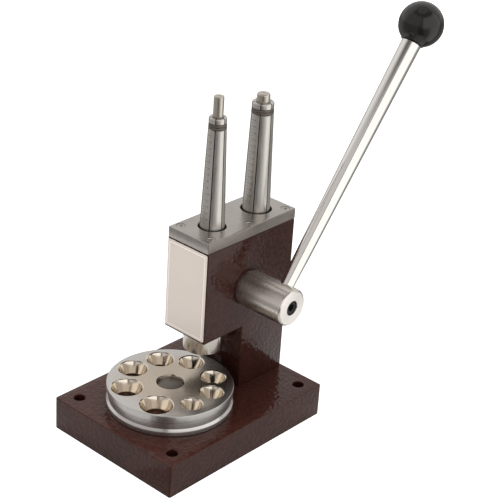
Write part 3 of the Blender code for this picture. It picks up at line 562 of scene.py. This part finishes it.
def turned(name, profile, steps=96, loop=False):
    """Turn (radius, height) points about Z."""
    shape = bmesh.new()
    rings = []
    for radius, height in profile:
        if radius <= 1e-7:
            rings.append([shape.verts.new((0.0, 0.0, height))])
            continue
        rings.append([shape.verts.new((radius * cos(2.0 * pi * step / steps),
                                       radius * sin(2.0 * pi * step / steps), height))
                      for step in range(steps)])
    pairs = list(zip(rings, rings[1:]))
    if loop:
        pairs.append((rings[-1], rings[0]))
    for first, second in pairs:
        for step in range(steps):
            after = (step + 1) % steps
            if len(first) == 1 and len(second) > 1:
                shape.faces.new((first[0], second[step], second[after]))
            elif len(second) == 1 and len(first) > 1:
                shape.faces.new((first[step], first[after], second[0]))
            elif len(first) > 1:
                shape.faces.new((first[step], first[after], second[after], second[step]))
    if not loop:
        for ring in (rings[0], rings[-1]):
            if len(ring) > 1:
                shape.faces.new(ring)
    return mesh_of(name, shape)


def block(name, corner, opposite):
    shape = bmesh.new()
    bmesh.ops.create_cube(shape, size=1.0)
    size = Vector(opposite) - Vector(corner)
    bmesh.ops.scale(shape, vec=size, verts=shape.verts)
    bmesh.ops.translate(shape, vec=(Vector(opposite) + Vector(corner)) / 2.0, verts=shape.verts)
    return mesh_of(name, shape)


def evaluated_mesh(holder):
    bpy.context.view_layer.update()
    return bpy.data.meshes.new_from_object(
        holder.evaluated_get(bpy.context.evaluated_depsgraph_get()))


def carved(mesh, cutters):
    """Cut (mesh, matrix) cutters out of a mesh, and return the new mesh."""
    body = placed("carving", mesh)
    tools = []
    for cutter_mesh, matrix in cutters:
        tool = placed("cutter", cutter_mesh)
        tool.matrix_world = matrix
        modifier = body.modifiers.new("cut", "BOOLEAN")
        modifier.object = tool
        modifier.solver = "EXACT"
        tools.append(tool)
    result = evaluated_mesh(body)
    result.name = mesh.name
    for item in [body] + tools:
        bpy.data.objects.remove(item)
    return result


def two_finishes(mesh, look, other_look, chosen):
    """Give a mesh one finish, and another on the faces chosen."""
    mesh.materials.append(look)
    mesh.materials.append(other_look)
    for face in mesh.polygons:
        if chosen(face):
            face.material_index = 1


def moved(mesh, matrix):
    mesh.transform(matrix)
    return mesh


def at(x=0.0, y=0.0, z=0.0):
    return Matrix.Translation((x, y, z))


def along_x():
    """Frame on the lever shaft: Z becomes +X."""
    return at(0.0, SHAFT.y, SHAFT.z) @ Matrix.Rotation(radians(90.0), 4, "Y")


def tilted(x, tilt):
    """Frame on the shaft axis at x, with Z leaning back by tilt."""
    return at(x, SHAFT.y, SHAFT.z) @ Matrix.Rotation(-tilt, 4, "X")


def rounded_outline(half_x, half_y, radius, steps=10):
    """(x, y) points of a rectangle about the origin with rounded corners."""
    points = []
    for corner, (sx, sy) in enumerate(((1, 1), (-1, 1), (-1, -1), (1, -1))):
        for step in range(steps + 1):
            angle = radians(90.0 * corner + 90.0 * step / steps)
            points.append((sx * (half_x - radius) + radius * cos(angle),
                           sy * (half_y - radius) + radius * sin(angle)))
    return points


def join_rings(shape, rings):
    """Faces between each ring of points and the next."""
    count = len(rings[0])
    for first, second in zip(rings, rings[1:]):
        for index in range(count):
            after = (index + 1) % count
            shape.faces.new((first[index], first[after], second[after], second[index]))


def slab(name, half_x, half_y, corner, levels, centre_y=0.0):
    """A slab with rounded upright corners; levels are (inset, height) from the bottom up."""
    shape = bmesh.new()
    rings = []
    for inset, height in levels:
        outline = rounded_outline(half_x - inset, half_y - inset, max(corner - inset, 0.05 * MM))
        rings.append([shape.verts.new((x, centre_y + y, height)) for x, y in outline])
    join_rings(shape, rings)
    shape.faces.new(rings[0])
    shape.faces.new(rings[-1])
    return mesh_of(name, shape)


def soft_levels(bottom, top, edge, steps=4):
    """(inset, height) levels of a slab whose edges are rounded."""
    levels = []
    for step in range(steps + 1):
        angle = radians(90.0 * step / steps)
        levels.append((edge * (1.0 - sin(angle)), bottom + edge * (1.0 - cos(angle))))
    for step in range(steps + 1):
        angle = radians(90.0 * step / steps)
        levels.append((edge * (1.0 - cos(angle)), top - edge * (1.0 - sin(angle))))
    return levels


# Base and frame

COLUMN_HEIGHT = 49.2 * MM   # from the base to the underside of the head
BUSH_CLEARANCE = 0.1 * MM
PLATE_SCREWS = 6


def build_base(paint):
    half_x, half_y, top = high("base_plate")
    mesh = slab("base", half_x, half_y, 1.5 * MM, soft_levels(0.0, top, 0.6 * MM))
    hole = 4.0 * MM
    lip = 0.5 * MM
    hole_x, hole_y = 45.7 * MM, 63.8 * MM
    cutters = []
    for x in (-hole_x, hole_x):
        for y in (-hole_y, hole_y):
            tool = turned("hole", [(hole + lip + MM, top + MM), (hole + lip, top),
                                   (hole, top - lip), (hole, -MM)], 64)
            cutters.append((tool, at(x, y)))
    thread, thread_end = 5.1 * MM, 6.0 * MM
    pivot = turned("pivot_hole", [(thread, top + MM), (thread, thread_end)], 48)
    cutters.append((pivot, at(0.0, DIE_AXIS.y)))
    shank, head, head_seat = 4.1 * MM, 7.0 * MM, 10.0 * MM
    for index in (1, 2):
        y = middle(f"column_bolt_{index}").y
        seat = turned("bolt_seat", [(shank, top + MM), (shank, head_seat), (head, head_seat),
                                    (head, -MM)], 48)
        cutters.append((seat, at(0.0, y)))
    piece_from("base_slab", carved(mesh, cutters), paint, "frame", 30.0,
               ("base_plate",))


def build_frame_body(paint):
    """Column and head as one casting with softened edges, hollow for the mechanism."""
    front = low("label_plate").y + 0.8 * MM
    top = PLATE_UNDER - 0.1 * MM
    half, back = high("frame_body").x, high("frame_body").y
    column_front, column_back = 29.2 * MM, 74.1 * MM
    bottom = low("frame_body").z
    under = bottom + COLUMN_HEIGHT
    outline = ((column_front, bottom), (column_back, bottom), (column_back, under), (back, under),
               (back, top), (front, top), (front, under), (column_front, under))
    shape = bmesh.new()
    left = [shape.verts.new((-half, y, z)) for y, z in outline]
    face = shape.faces.new(left)
    made = bmesh.ops.extrude_face_region(shape, geom=[face])
    verts = [item for item in made["geom"] if isinstance(item, bmesh.types.BMVert)]
    bmesh.ops.translate(shape, vec=(2.0 * half, 0.0, 0.0), verts=verts)
    bmesh.ops.recalc_face_normals(shape, faces=shape.faces)
    convex = [edge for edge in shape.edges if edge.calc_face_angle_signed(0.0) > 0.5]
    bmesh.ops.bevel(shape, geom=convex, offset=0.4 * MM, segments=3, profile=0.5, affect="EDGES")
    mesh = mesh_of("column_and_head", shape)
    cavity_half, cavity_front, cavity_back = 11.5 * MM, 0.5 * MM, 69.0 * MM
    cavity_floor = 86.0 * MM
    cavity = block("cavity", (-cavity_half, cavity_front, cavity_floor),
                   (cavity_half, cavity_back, top + MM))
    right = 10.0 * MM + BUSH_CLEARANCE
    left = 8.0 * MM + BUSH_CLEARANCE
    bush, bush_floor = 11.5 * MM + BUSH_CLEARANCE, 80.5 * MM
    bore, mouth, lip = 14.5 * MM, 15.3 * MM, 0.4 * MM
    ram_way = turned("ram_way", [(bush, cavity_floor + MM), (bush, bush_floor),
                                 (bore, bush_floor), (bore, under + lip),
                                 (mouth, under - lip), (mouth, under - MM)], 96)
    cutters = [
        (cavity, at()),
        (turned("right", [(right, 30.0 * MM), (right, 5.0 * MM)], 64), along_x()),
        (turned("left", [(left, -5.0 * MM), (left, -30.0 * MM)], 64), along_x()),
        (ram_way, at(0.0, middle("ram").y)),
    ]
    pocket_floor = 136.3 * MM
    for size, radius in (("small", 12.6 * MM), ("large", 13.6 * MM)):
        pocket = turned("pocket", [(radius, top + MM), (radius, pocket_floor)], 64)
        cutters.append((pocket, at(0.0, MANDREL_Y[size])))
    piece_from("column_and_head", carved(mesh, cutters), paint, "frame", 30.0,
               ("frame_body",))


def build_top_plate(look, shaded_side_look):
    box_low, box_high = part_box("top_plate")
    half_y = (box_high.y - box_low.y) / 2.0
    mesh = slab("cover_plate", box_high.x, half_y, 0.7 * MM,
                soft_levels(box_low.z, box_high.z, 0.45 * MM, 3), middle("top_plate").y)
    cutters = []
    lip = 0.35 * MM
    for size, radius in (("small", 9.8 * MM), ("large", 11.05 * MM)):
        tool = turned("opening", [(radius + lip + MM, PLATE_TOP + MM), (radius + lip, PLATE_TOP),
                                  (radius, PLATE_TOP - lip), (radius, PLATE_UNDER - MM)], 128)
        cutters.append((tool, at(0.0, MANDREL_Y[size])))
    sink, shank = 3.25 * MM, 1.35 * MM
    for index in range(1, PLATE_SCREWS + 1):
        centre = middle(f"top_plate_screw_{index}")
        tool = turned("sunk", [(sink, PLATE_TOP + MM), (sink, PLATE_TOP - lip),
                               (shank, PLATE_TOP - 2.05 * MM), (shank, PLATE_UNDER - MM)], 48)
        cutters.append((tool, at(centre.x, centre.y)))
    # The faces towards +X get a darker, rougher steel: painted shade on the plate's right side,
    # while the front keeps the ground finish.
    two_finishes(mesh, look, shaded_side_look, lambda face: face.normal.x > 0.7)
    piece_from("cover_plate", carved(mesh, cutters), look, "frame", 30.0,
               ("top_plate",))


def build_plate_screws(look):
    """Countersunk screws with dished heads, each cross turned its own way."""
    head, shank = 2.8 * MM, 1.15 * MM
    top = PLATE_TOP - 0.1 * MM
    dish, chamfer, cone_top = 0.35 * MM, 0.12 * MM, top - 0.2 * MM
    arm_long, arm_half, arm_deep = 1.35 * MM, 0.3 * MM, 1.2 * MM
    for index in range(1, PLATE_SCREWS + 1):
        node = f"top_plate_screw_{index}"
        centre = middle(node)
        mesh = turned(node, [(0.0, top - dish), (head - 0.75 * MM, top - dish),
                             (head - 0.6 * MM, top), (head - chamfer, top),
                             (head, top - chamfer), (head, cone_top),
                             (shank, cone_top - (head - shank)), (shank, low(node).z)], 48)
        cutters = []
        heading = radians(25.0 + 50.0 * index)
        for quarter in (0.0, pi / 2.0):
            arm = block("arm", (-arm_long, -arm_half, top - arm_deep),
                        (arm_long, arm_half, top + MM))
            cutters.append((arm, Matrix.Rotation(heading + quarter, 4, "Z")))
        mesh = moved(carved(mesh, cutters), at(centre.x, centre.y))
        piece_from(f"cover_screw_{index}", mesh, look, "frame", 30.0, (node,))


def build_label(look, border):
    """Blank name plate with rounded corners and a fine raised border line."""
    box_low, box_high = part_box("label_plate")
    half_x = box_high.x
    half_z = (box_high.z - box_low.z) / 2.0
    thick = box_high.y - box_low.y
    upright = (at(0.0, box_high.y, middle("label_plate").z)
               @ Matrix.Rotation(radians(90.0), 4, "X"))
    mesh = slab("label", half_x, half_z, 1.2 * MM, soft_levels(0.0, thick, 0.18 * MM, 3))
    piece_from("blank_label", moved(mesh, upright), look, "frame", 30.0,
               ("label_plate",))
    inset = 1.5 * MM
    line = 0.55 * MM
    sunk, proud = thick - 0.02 * MM, thick + 0.05 * MM
    outer = rounded_outline(half_x - inset, half_z - inset, 1.0 * MM, 6)
    inner = rounded_outline(half_x - inset - line, half_z - inset - line, 0.6 * MM, 6)
    shape = bmesh.new()
    rings = [[shape.verts.new((x, y, height)) for x, y in outline]
             for outline, height in ((outer, sunk), (outer, proud), (inner, proud), (inner, sunk))]
    join_rings(shape, rings + rings[:1])
    mesh = moved(mesh_of("label_border", shape), upright)
    piece_from("label_border", mesh, border, "frame", 30.0)


# Lever

def build_hub(look, face_look, black):
    """Lever hub bored for the shaft and the rod, and the socket screw sunk in its end."""
    start, end = low("lever_hub").x, high("lever_hub").x
    radius = high("lever_hub").z - SHAFT.z
    fillet, back_chamfer, lip = 2.4 * MM, 0.6 * MM, 0.35 * MM
    shaft_way, shaft_way_end = 7.1 * MM, 40.9 * MM
    recess, floor, screw_way = 5.2 * MM, 52.9 * MM, 2.7 * MM
    profile = [(shaft_way, start), (radius - back_chamfer, start), (radius, start + back_chamfer)]
    profile += arc((radius - fillet, end - fillet), fillet, 0.0, 90.0, 12)
    profile += [(recess + lip, end), (recess, end - lip), (recess, floor), (screw_way, floor),
                (screw_way, shaft_way_end), (shaft_way, shaft_way_end)]
    mesh = moved(turned("hub", profile, 160, loop=True), along_x())
    rod_way = turned("rod_way", [(5.25 * MM, 20.0 * MM), (5.25 * MM, 4.4 * MM)], 64)
    # The end face towards +X gets its own faced finish; its near-white colour is painted light
    # that brightens it.
    two_finishes(mesh, look, face_look, lambda face: face.normal.x > 0.9)
    mesh = carved(mesh, [(rod_way, tilted(middle("handle_rod").x, LEVER_TILT))])
    piece_from("hub", mesh, look, "lever", 30.0, ("lever_hub",))

    head_out = high("hub_end_screw").x
    head_in, tip = 53.1 * MM, 32.0 * MM
    head, thread, rounding = 4.85 * MM, 2.5 * MM, 0.5 * MM
    socket, socket_depth, socket_lip = 2.5 * MM / cos(pi / 6.0), 3.0 * MM, 0.15 * MM
    profile = [(thread, tip), (thread, head_in), (head, head_in)]
    profile += arc((head - rounding, head_out - rounding), rounding, 0.0, 90.0, 4)
    profile += [(socket + socket_lip, head_out), (socket, head_out - socket_lip)]
    mesh = turned("end_screw", profile, 64)
    hexagon = turned("socket", [(socket, head_out + MM), (socket, head_out - socket_depth)], 6)
    mesh = moved(carved(mesh, [(hexagon, at())]), along_x())
    piece_from("end_screw", mesh, black, "lever", 30.0, ("hub_end_screw",))


def build_handle(rod_look, knob_look):
    """Lever rod that widens towards its ball knob; heights are distances from the shaft's axis."""
    tilt = tilted(middle("handle_rod").x, LEVER_TILT)
    knob_radius, centre = 16.0 * MM, 215.2 * MM
    lip = 8.4 * MM
    rod_end = centre - sqrt(knob_radius ** 2 - lip ** 2) - 0.9 * MM
    near, far, tenon = 5.0 * MM, 7.1 * MM, 4.0 * MM
    rounding = 0.8 * MM
    profile = [(near - 0.6 * MM, 4.7 * MM), (near, 5.3 * MM), (near, 14.4 * MM)]
    profile += arc((far - rounding, rod_end - rounding), rounding, 0.0, 90.0, 5)
    profile += [(tenon, rod_end), (tenon, centre + 2.0 * MM)]
    piece_from("lever_rod", moved(turned("lever_rod", profile, 96), tilt), rod_look, "lever", 30.0,
               ("handle_rod",))

    bore, bore_end = tenon + 0.1 * MM, centre + 3.0 * MM
    neck = rod_end + 0.15 * MM
    rounding = 0.5 * MM
    first = -90.0 + degrees(asin(lip / knob_radius))
    profile = [(0.0, bore_end), (bore, bore_end), (bore, neck), (lip - rounding, neck)]
    profile += arc((lip - rounding, neck + rounding), rounding, -90.0, 0.0, 4)[1:]
    ball = arc((0.0, centre), knob_radius, first, 90.0, 48)
    ball[-1] = (0.0, centre + knob_radius)
    mesh = moved(turned("ball_knob", profile + ball, 96), tilt)
    piece_from("ball_knob", mesh, knob_look, "lever", 35.0, ("handle_knob",))


# Ram, draw rods and mandrels

def build_ram(look, face_look):
    """Plunger with a stem in the ram bush, and a spigot in the crosshead."""
    box_low, box_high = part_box("ram")
    radius, head_top = 14.0 * MM, 79.9 * MM
    stem, stem_top, spigot = 9.0 * MM, 99.2 * MM, 6.0 * MM
    edge = 0.7 * MM
    profile = [(spigot, box_high.z), (spigot, stem_top), (stem, stem_top), (stem, head_top)]
    profile += arc((radius - edge, head_top - edge), edge, 90.0, 0.0, 4)
    profile += arc((radius - edge, box_low.z + edge), edge, 0.0, -90.0, 4)
    profile += [(0.0, box_low.z)]
    mesh = moved(turned("ram_plunger", profile, 128), at(0.0, middle("ram").y))
    two_finishes(mesh, look, face_look, lambda face: face.normal.z < -0.9)
    piece_from("ram_plunger", mesh, look, "cross_slide", 30.0, ("ram",))


# Radii of each mandrel: its outside at the cover plate and at the top, the draw rod, the flange
# that holds the jaws down, the floor of the bands' groove, and the draw rod's shank and bevel.
MANDRELS = {
    "small": {"base": 8.63 * MM, "top": 5.98 * MM, "rod": 3.5 * MM, "flange": 11.2 * MM,
              "floor": 4.75 * MM, "shank": 3.0 * MM, "bevel": 0.5 * MM},
    "large": {"base": 9.76 * MM, "top": 7.55 * MM, "rod": 4.6 * MM, "flange": 12.3 * MM,
              "floor": 6.2 * MM, "shank": 3.6 * MM, "bevel": 1.1 * MM},
}
CONE_TOP = 226.0 * MM
CONE_PITCH = 18.0 * MM
CONE_COUNT = 4
STEP_HEIGHT = 0.8 * MM
GAP = 0.3 * MM              # between the draw rod and the jaws
GROOVE = (222.3 * MM, 226.5 * MM)
BAND_HEIGHT = 1.75 * MM
BAND_MARGIN = 0.25 * MM


def outside(mandrel, height):
    """Radius of a mandrel's tapered outside at a height."""
    taper = (mandrel["base"] - mandrel["top"]) / (MANDREL_TOP - PLATE_TOP)
    return mandrel["top"] + taper * (MANDREL_TOP - max(height, PLATE_TOP))


def cone_steps(radius):
    """(radius, height) points of the wedge cones, from the top down."""
    points = []
    for index in range(CONE_COUNT):
        top = CONE_TOP - index * CONE_PITCH
        points += [(radius, top - (STEP_HEIGHT if index else 0.0)),
                   (radius - SPREAD * CONE_PITCH, top - CONE_PITCH)]
    return points


def build_draw_rods(look):
    bottom = CONE_TOP - CONE_COUNT * CONE_PITCH
    dimple = 0.9 * MM
    for size, mandrel in MANDRELS.items():
        node = f"draw_rod_{size}"
        top = high(node).z
        radius = mandrel["rod"]
        bevel = mandrel["bevel"]
        profile = [(0.0, top - dimple), (dimple, top), (radius - bevel, top)]
        profile += arc((radius - bevel, top - bevel), bevel, 78.0, 0.0, 5)
        profile += cone_steps(radius)
        profile += [(mandrel["shank"], bottom - STEP_HEIGHT), (mandrel["shank"], low(node).z)]
        mesh = moved(turned(node, profile, 72), at(0.0, MANDREL_Y[size]))
        piece_from(f"pull_rod_{size}", mesh, look, "cross_slide", 25.0, (node,))


def segment_outline(mandrel):
    """(radius, height) outline of a jaw: outside from the top down, and back up its bore."""
    groove_low, groove_high = GROOVE
    flange_top = high("small_seat_washer").z + 3.3 * MM
    foot = low("small_segment_1").z
    radius = mandrel["rod"]
    shoulder = 1.1 * MM
    collar = outside(mandrel, groove_high)
    lip = 0.2 * MM
    outline = [(collar - shoulder, MANDREL_TOP)]
    outline += arc((collar - shoulder, MANDREL_TOP - shoulder), shoulder, 75.0, 0.0, 5)
    outline += [(collar, groove_high + lip),
                (collar - lip, groove_high), (mandrel["floor"], groove_high),
                (mandrel["floor"], groove_low), (outside(mandrel, groove_low) - lip, groove_low),
                (outside(mandrel, groove_low - lip), groove_low - lip),
                (mandrel["base"], PLATE_TOP), (mandrel["base"], flange_top),
                (mandrel["flange"], flange_top), (mandrel["flange"], foot)]
    bottom = CONE_TOP - CONE_COUNT * CONE_PITCH
    inside = [(radius + GAP, MANDREL_TOP - 0.4 * MM)]
    inside += [(r + GAP, z + (GAP if r < radius else 0.0)) for r, z in cone_steps(radius)]
    inside += [(mandrel["shank"] + GAP, bottom - STEP_HEIGHT + GAP),
               (mandrel["shank"] + GAP, foot)]
    return outline + list(reversed(inside))


def segment_heading(number):
    """Heading of a jaw's middle; the last one faces the front."""
    return radians((number + 0.5) * 360.0 / SEGMENTS - 60.0)


def build_segments(look):
    arc_steps = 18
    half = pi / SEGMENTS
    for size, mandrel in MANDRELS.items():
        outline = segment_outline(mandrel)
        shape = bmesh.new()
        sections = []
        for step in range(arc_steps + 1):
            section = []
            for radius, height in outline:
                reach = half - asin(SLIT / (2.0 * radius))
                angle = reach * (2.0 * step / arc_steps - 1.0)
                section.append(shape.verts.new((radius * cos(angle), radius * sin(angle), height)))
            sections.append(section)
        for first, second in zip(sections, sections[1:]):
            for index in range(len(outline)):
                after = (index + 1) % len(outline)
                shape.faces.new((first[index], second[index], second[after], first[after]))
        shape.faces.new(sections[0])
        shape.faces.new(sections[-1])
        base = mesh_of(f"{size}_jaw", shape)
        for number in range(SEGMENTS):
            node = f"{size}_segment_{number + 1}"
            mesh = moved(base.copy(), at(0.0, MANDREL_Y[size])
                         @ Matrix.Rotation(segment_heading(number), 4, "Z"))
            piece_from(f"{size}_jaw_{number + 1}", mesh, look, node, 25.0,
                       (node,))


def build_bands(look):
    """Rings in the groove, wide enough inside for the jaws to move out."""
    groove_low, groove_high = GROOVE
    half = BAND_HEIGHT / 2.0
    bulge = 0.35 * MM
    for size, mandrel in MANDRELS.items():
        for level, centre in (("lower", groove_low + BAND_MARGIN + half),
                              ("upper", groove_high - BAND_MARGIN - half)):
            inner = mandrel["floor"] + SPREAD * STROKE + 0.15 * MM
            outer = outside(mandrel, centre) + 0.05 * MM
            profile = [(inner, centre + half), (outer - bulge, centre + half)]
            for step in range(1, 6):
                angle = radians(90.0 - 180.0 * step / 6.0)
                profile.append((outer - bulge + bulge * cos(angle), centre + half * sin(angle)))
            profile += [(outer - bulge, centre - half), (inner, centre - half)]
            mesh = moved(turned("band", profile, 96, loop=True), at(0.0, MANDREL_Y[size]))
            piece_from(f"{size}_ring_{level}", mesh, look, "frame", 30.0,
                       (f"{size}_band_{level}",))


def wrapped(name, flat, mandrel, size, heading, lift):
    """Wrap flat (along, height) triangles round a mandrel's taper, facing heading."""
    shape = bmesh.new()
    shape.from_mesh(flat)
    for vert in shape.verts:
        radius = outside(mandrel, vert.co.y) + lift + vert.co.z
        angle = heading + vert.co.x / radius
        vert.co = Vector((radius * cos(angle), MANDREL_Y[size] + radius * sin(angle), vert.co.y))
    return mesh_of(name, shape)


def flat_text(words, size):
    data = bpy.data.curves.new("mark_text", "FONT")
    data.body = words
    data.size = size
    data.align_x = "LEFT"
    data.align_y = "CENTER"
    data.resolution_u = 2
    holder = placed("mark_text", data)
    mesh = evaluated_mesh(holder)
    bpy.data.objects.remove(holder)
    return mesh


def build_marks(look):
    """Size lines and numbers engraved up the front segment of each mandrel."""
    front = SEGMENTS - 1
    count = 14
    pitch = 4.6 * MM
    top = GROOVE[0] - 4.0 * MM
    left, bar = -2.7 * MM, 0.13 * MM
    columns = 6
    for size, first_number in (("small", 1), ("large", 8)):
        mandrel = MANDRELS[size]
        shape = bmesh.new()
        for index in range(count):
            for half_step, width in ((0.0, 2.6 * MM), (0.5, 1.5 * MM)):
                level = top - (index + half_step) * pitch
                rows = [[shape.verts.new((left + width * column / columns, level + side * bar,
                                          0.0))
                         for column in range(columns + 1)] for side in (-1.0, 1.0)]
                for column in range(columns):
                    shape.faces.new((rows[0][column], rows[0][column + 1],
                                     rows[1][column + 1], rows[1][column]))
        for index in range(count):
            label = flat_text(str(first_number + index), 2.3 * MM)
            label.transform(at(0.25 * MM, top - index * pitch))
            shape.from_mesh(label)
        flat = bpy.data.meshes.new("marks")
        shape.to_mesh(flat)
        shape.free()
        mesh = wrapped(f"{size}_marks", flat, mandrel, size, segment_heading(front), 0.015 * MM)
        piece_from(f"{size}_size_marks", mesh, look, f"{size}_segment_{front + 1}", 40.0)


# Dies

DIES = (                    # diameter of the mouth in mm, heading in degrees
    (22.9, 297.7), (22.0, 241.1), (20.7, 192.9), (19.2, 148.5),
    (17.9, 106.6), (17.4, 60.5), (16.1, 22.7), (14.6, 343.6),
)
DIE_PITCH_RADIUS = 31.05 * MM
DIE_NARROWING = 3.2 * MM
DIE_CONE_DEPTH = 8.6 * MM


def bored(name, profile, look, bore_look):
    """A cutter whose walls leave the bore's finish behind."""
    mesh = turned(name, profile, 96)
    two_finishes(mesh, look, bore_look, lambda face: True)
    return mesh


def build_die_plate(look, bore_look):
    """Grooved plate; the conical walls carry their own brighter finish."""
    box_low, box_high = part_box("die_plate")
    bottom, top = box_low.z, box_high.z
    radius = (box_high.x - box_low.x) / 2.0
    groove = radius - 1.3 * MM
    ledge, groove_low, groove_high = 28.4 * MM, 30.1 * MM, 36.45 * MM
    edge = 0.45 * MM
    fine = 0.2 * MM
    under_edge = 0.3 * MM
    profile = arc((radius - edge, top - edge), edge, 90.0, 0.0, 5)
    profile += [(radius, groove_high + fine), (radius - fine, groove_high), (groove, groove_high),
                (groove, groove_low + 0.1 * MM), (radius - fine, ledge + fine), (radius, ledge)]
    profile += arc((radius - under_edge, bottom + under_edge), under_edge, 0.0, -90.0, 3)
    mesh = turned("dies", profile, 256)
    mesh.materials.append(look)
    mesh.materials.append(bore_look)
    head_way, head_floor, neck_way = 9.2 * MM, 32.4 * MM, 5.2 * MM
    pivot_mouth, lip = 9.8 * MM, 0.15 * MM
    pivot_bore = bored("pivot_bore", [
        (pivot_mouth + lip, top + MM), (pivot_mouth + lip, top), (pivot_mouth, top - lip),
        (head_way, high("die_pivot_bolt").z), (head_way, head_floor), (neck_way, head_floor),
        (neck_way, bottom - MM)], look, bore_look)
    cutters = [(pivot_bore, at())]
    for diameter, heading in DIES:
        wide = diameter * MM / 2.0
        throat = wide - DIE_NARROWING
        cone_end = top - DIE_CONE_DEPTH
        mouth = 0.5 * MM
        hole = bored("die", [
            (wide + mouth, top + MM), (wide + mouth, top), (wide + 0.15 * MM, top - 0.2 * MM),
            (wide - mouth * DIE_NARROWING / DIE_CONE_DEPTH, top - mouth),
            (throat + 0.1 * MM, cone_end + 0.3 * MM), (throat, cone_end),
            (throat, bottom - MM)], look, bore_look)
        angle = radians(heading)
        cutters.append((hole, at(DIE_PITCH_RADIUS * cos(angle), DIE_PITCH_RADIUS * sin(angle))))
    mesh = moved(carved(mesh, cutters), at(0.0, DIE_AXIS.y))
    piece_from("dies", mesh, look, "dies", 25.0, ("die_plate",))


def build_pivot_bolt(look):
    top = high("die_pivot_bolt").z
    head, head_under, neck = 9.0 * MM, 32.6 * MM, 5.0 * MM
    rounding = 0.35 * MM
    profile = [(0.0, top), (head - rounding, top)]
    profile += arc((head - rounding, top - rounding), rounding, 60.0, 0.0, 3)
    profile += [(head, head_under), (neck, head_under), (neck, low("die_pivot_bolt").z)]
    mesh = moved(turned("pivot_bolt", profile, 96), at(0.0, DIE_AXIS.y))
    piece_from("pivot_bolt", mesh, look, "frame", 25.0, ("die_pivot_bolt",))


# CAD nodes that stay as they are get procedural finishes

def dress(names, look):
    for name in names:
        node = frame["nodes"][name]
        node.data.materials.clear()
        node.data.materials.append(look)


def build():
    paint = hammertone_paint()
    black = black_oxide()
    turned_hub = turned_steel("turned_hub", WARM_STEEL, 0.28, X, tuple(SHAFT), depth=0.04).material
    # The hub's end face: a faced finish, partly real, whose near-white colour is painted light.
    hub_end_painted_light = turned_steel("hub_end_painted_light", (0.96, 0.93, 0.89), 0.46, X, tuple(SHAFT),
                             stretch=0.3).material
    ground = steel("ground_plate", GREY_STEEL, 0.27, (1.0, 0.06, 1.0), 1100.0, depth=0.35,
                   spot=(0.66, 1.18)).material
    # Darker steel for the cover plate's right side: painted shade.
    plate_side_painted_shade = steel("plate_side_painted_shade", (0.30, 0.27, 0.25), 0.42, (0.06, 0.06, 1.0), 1100.0,
                        depth=0.4, spot=(0.6, 1.3)).material
    mandrel = steel("mandrel_steel", STEEL, 0.33, (1.0, 1.0, 0.04), 1800.0).material
    draw = steel("draw_rod_steel", (0.55, 0.51, 0.455), 0.30, (1.0, 1.0, 0.05), 1500.0).material
    ram = turned_steel("ram_steel", (0.68, 0.64, 0.59), 0.17, Z,
                       (0.0, middle("ram").y, 0.0)).material
    ram_face = steel("ram_face", (0.13, 0.12, 0.11), 0.38, grain_scale=700.0).material
    polished = steel("polished_rod", (0.78, 0.765, 0.74), 0.10, grain_scale=700.0,
                     depth=0.03).material
    # Die face: darker and warmer in the middle and lighter grey towards the rim, as painted shade
    # and painted reflection on one steel.
    die = turned_steel("die_face", (0.54, 0.47, 0.39), 0.27, Z, tuple(DIE_AXIS), stretch=0.8,
                       painted_rim_light=(0.58, 0.565, 0.545), rim_light_from=0.026, rim_light_to=0.043).material
    bore = steel("die_bore", (0.74, 0.675, 0.59), 0.13, (1.0, 1.0, 0.2), depth=0.05).material
    pivot = steel("pivot_face", (0.17, 0.15, 0.13), 0.42, grain_scale=450.0, depth=0.5,
                  spot=(0.6, 1.3)).material
    internal = steel("mechanism_steel", GREY_STEEL, 0.32).material
    screw = steel("screw_steel", (0.52, 0.50, 0.475), 0.3).material

    build_camera()
    build_lights()
    build_floor()
    build_base(paint)
    build_frame_body(paint)
    build_top_plate(ground, plate_side_painted_shade)
    build_plate_screws(screw)
    build_label(label_finish(), label_border_finish())
    build_hub(turned_hub, hub_end_painted_light, black)
    build_handle(polished, black_plastic())
    build_ram(ram, ram_face)
    build_draw_rods(draw)
    build_segments(mandrel)
    build_bands(band_finish())
    build_marks(ink_finish())
    build_die_plate(die, bore)
    build_pivot_bolt(pivot)
    dress(("pinion", "crosshead", "small_seat_washer", "large_seat_washer"), internal)
    dress(("shaft_bush_right", "shaft_bush_left", "shaft_washer", "lever_shaft"), turned_hub)
    dress(("column_bolt_1", "column_bolt_2", "shaft_end_screw"), black)
    dress(("ram_bush",), bronze_finish())


build()
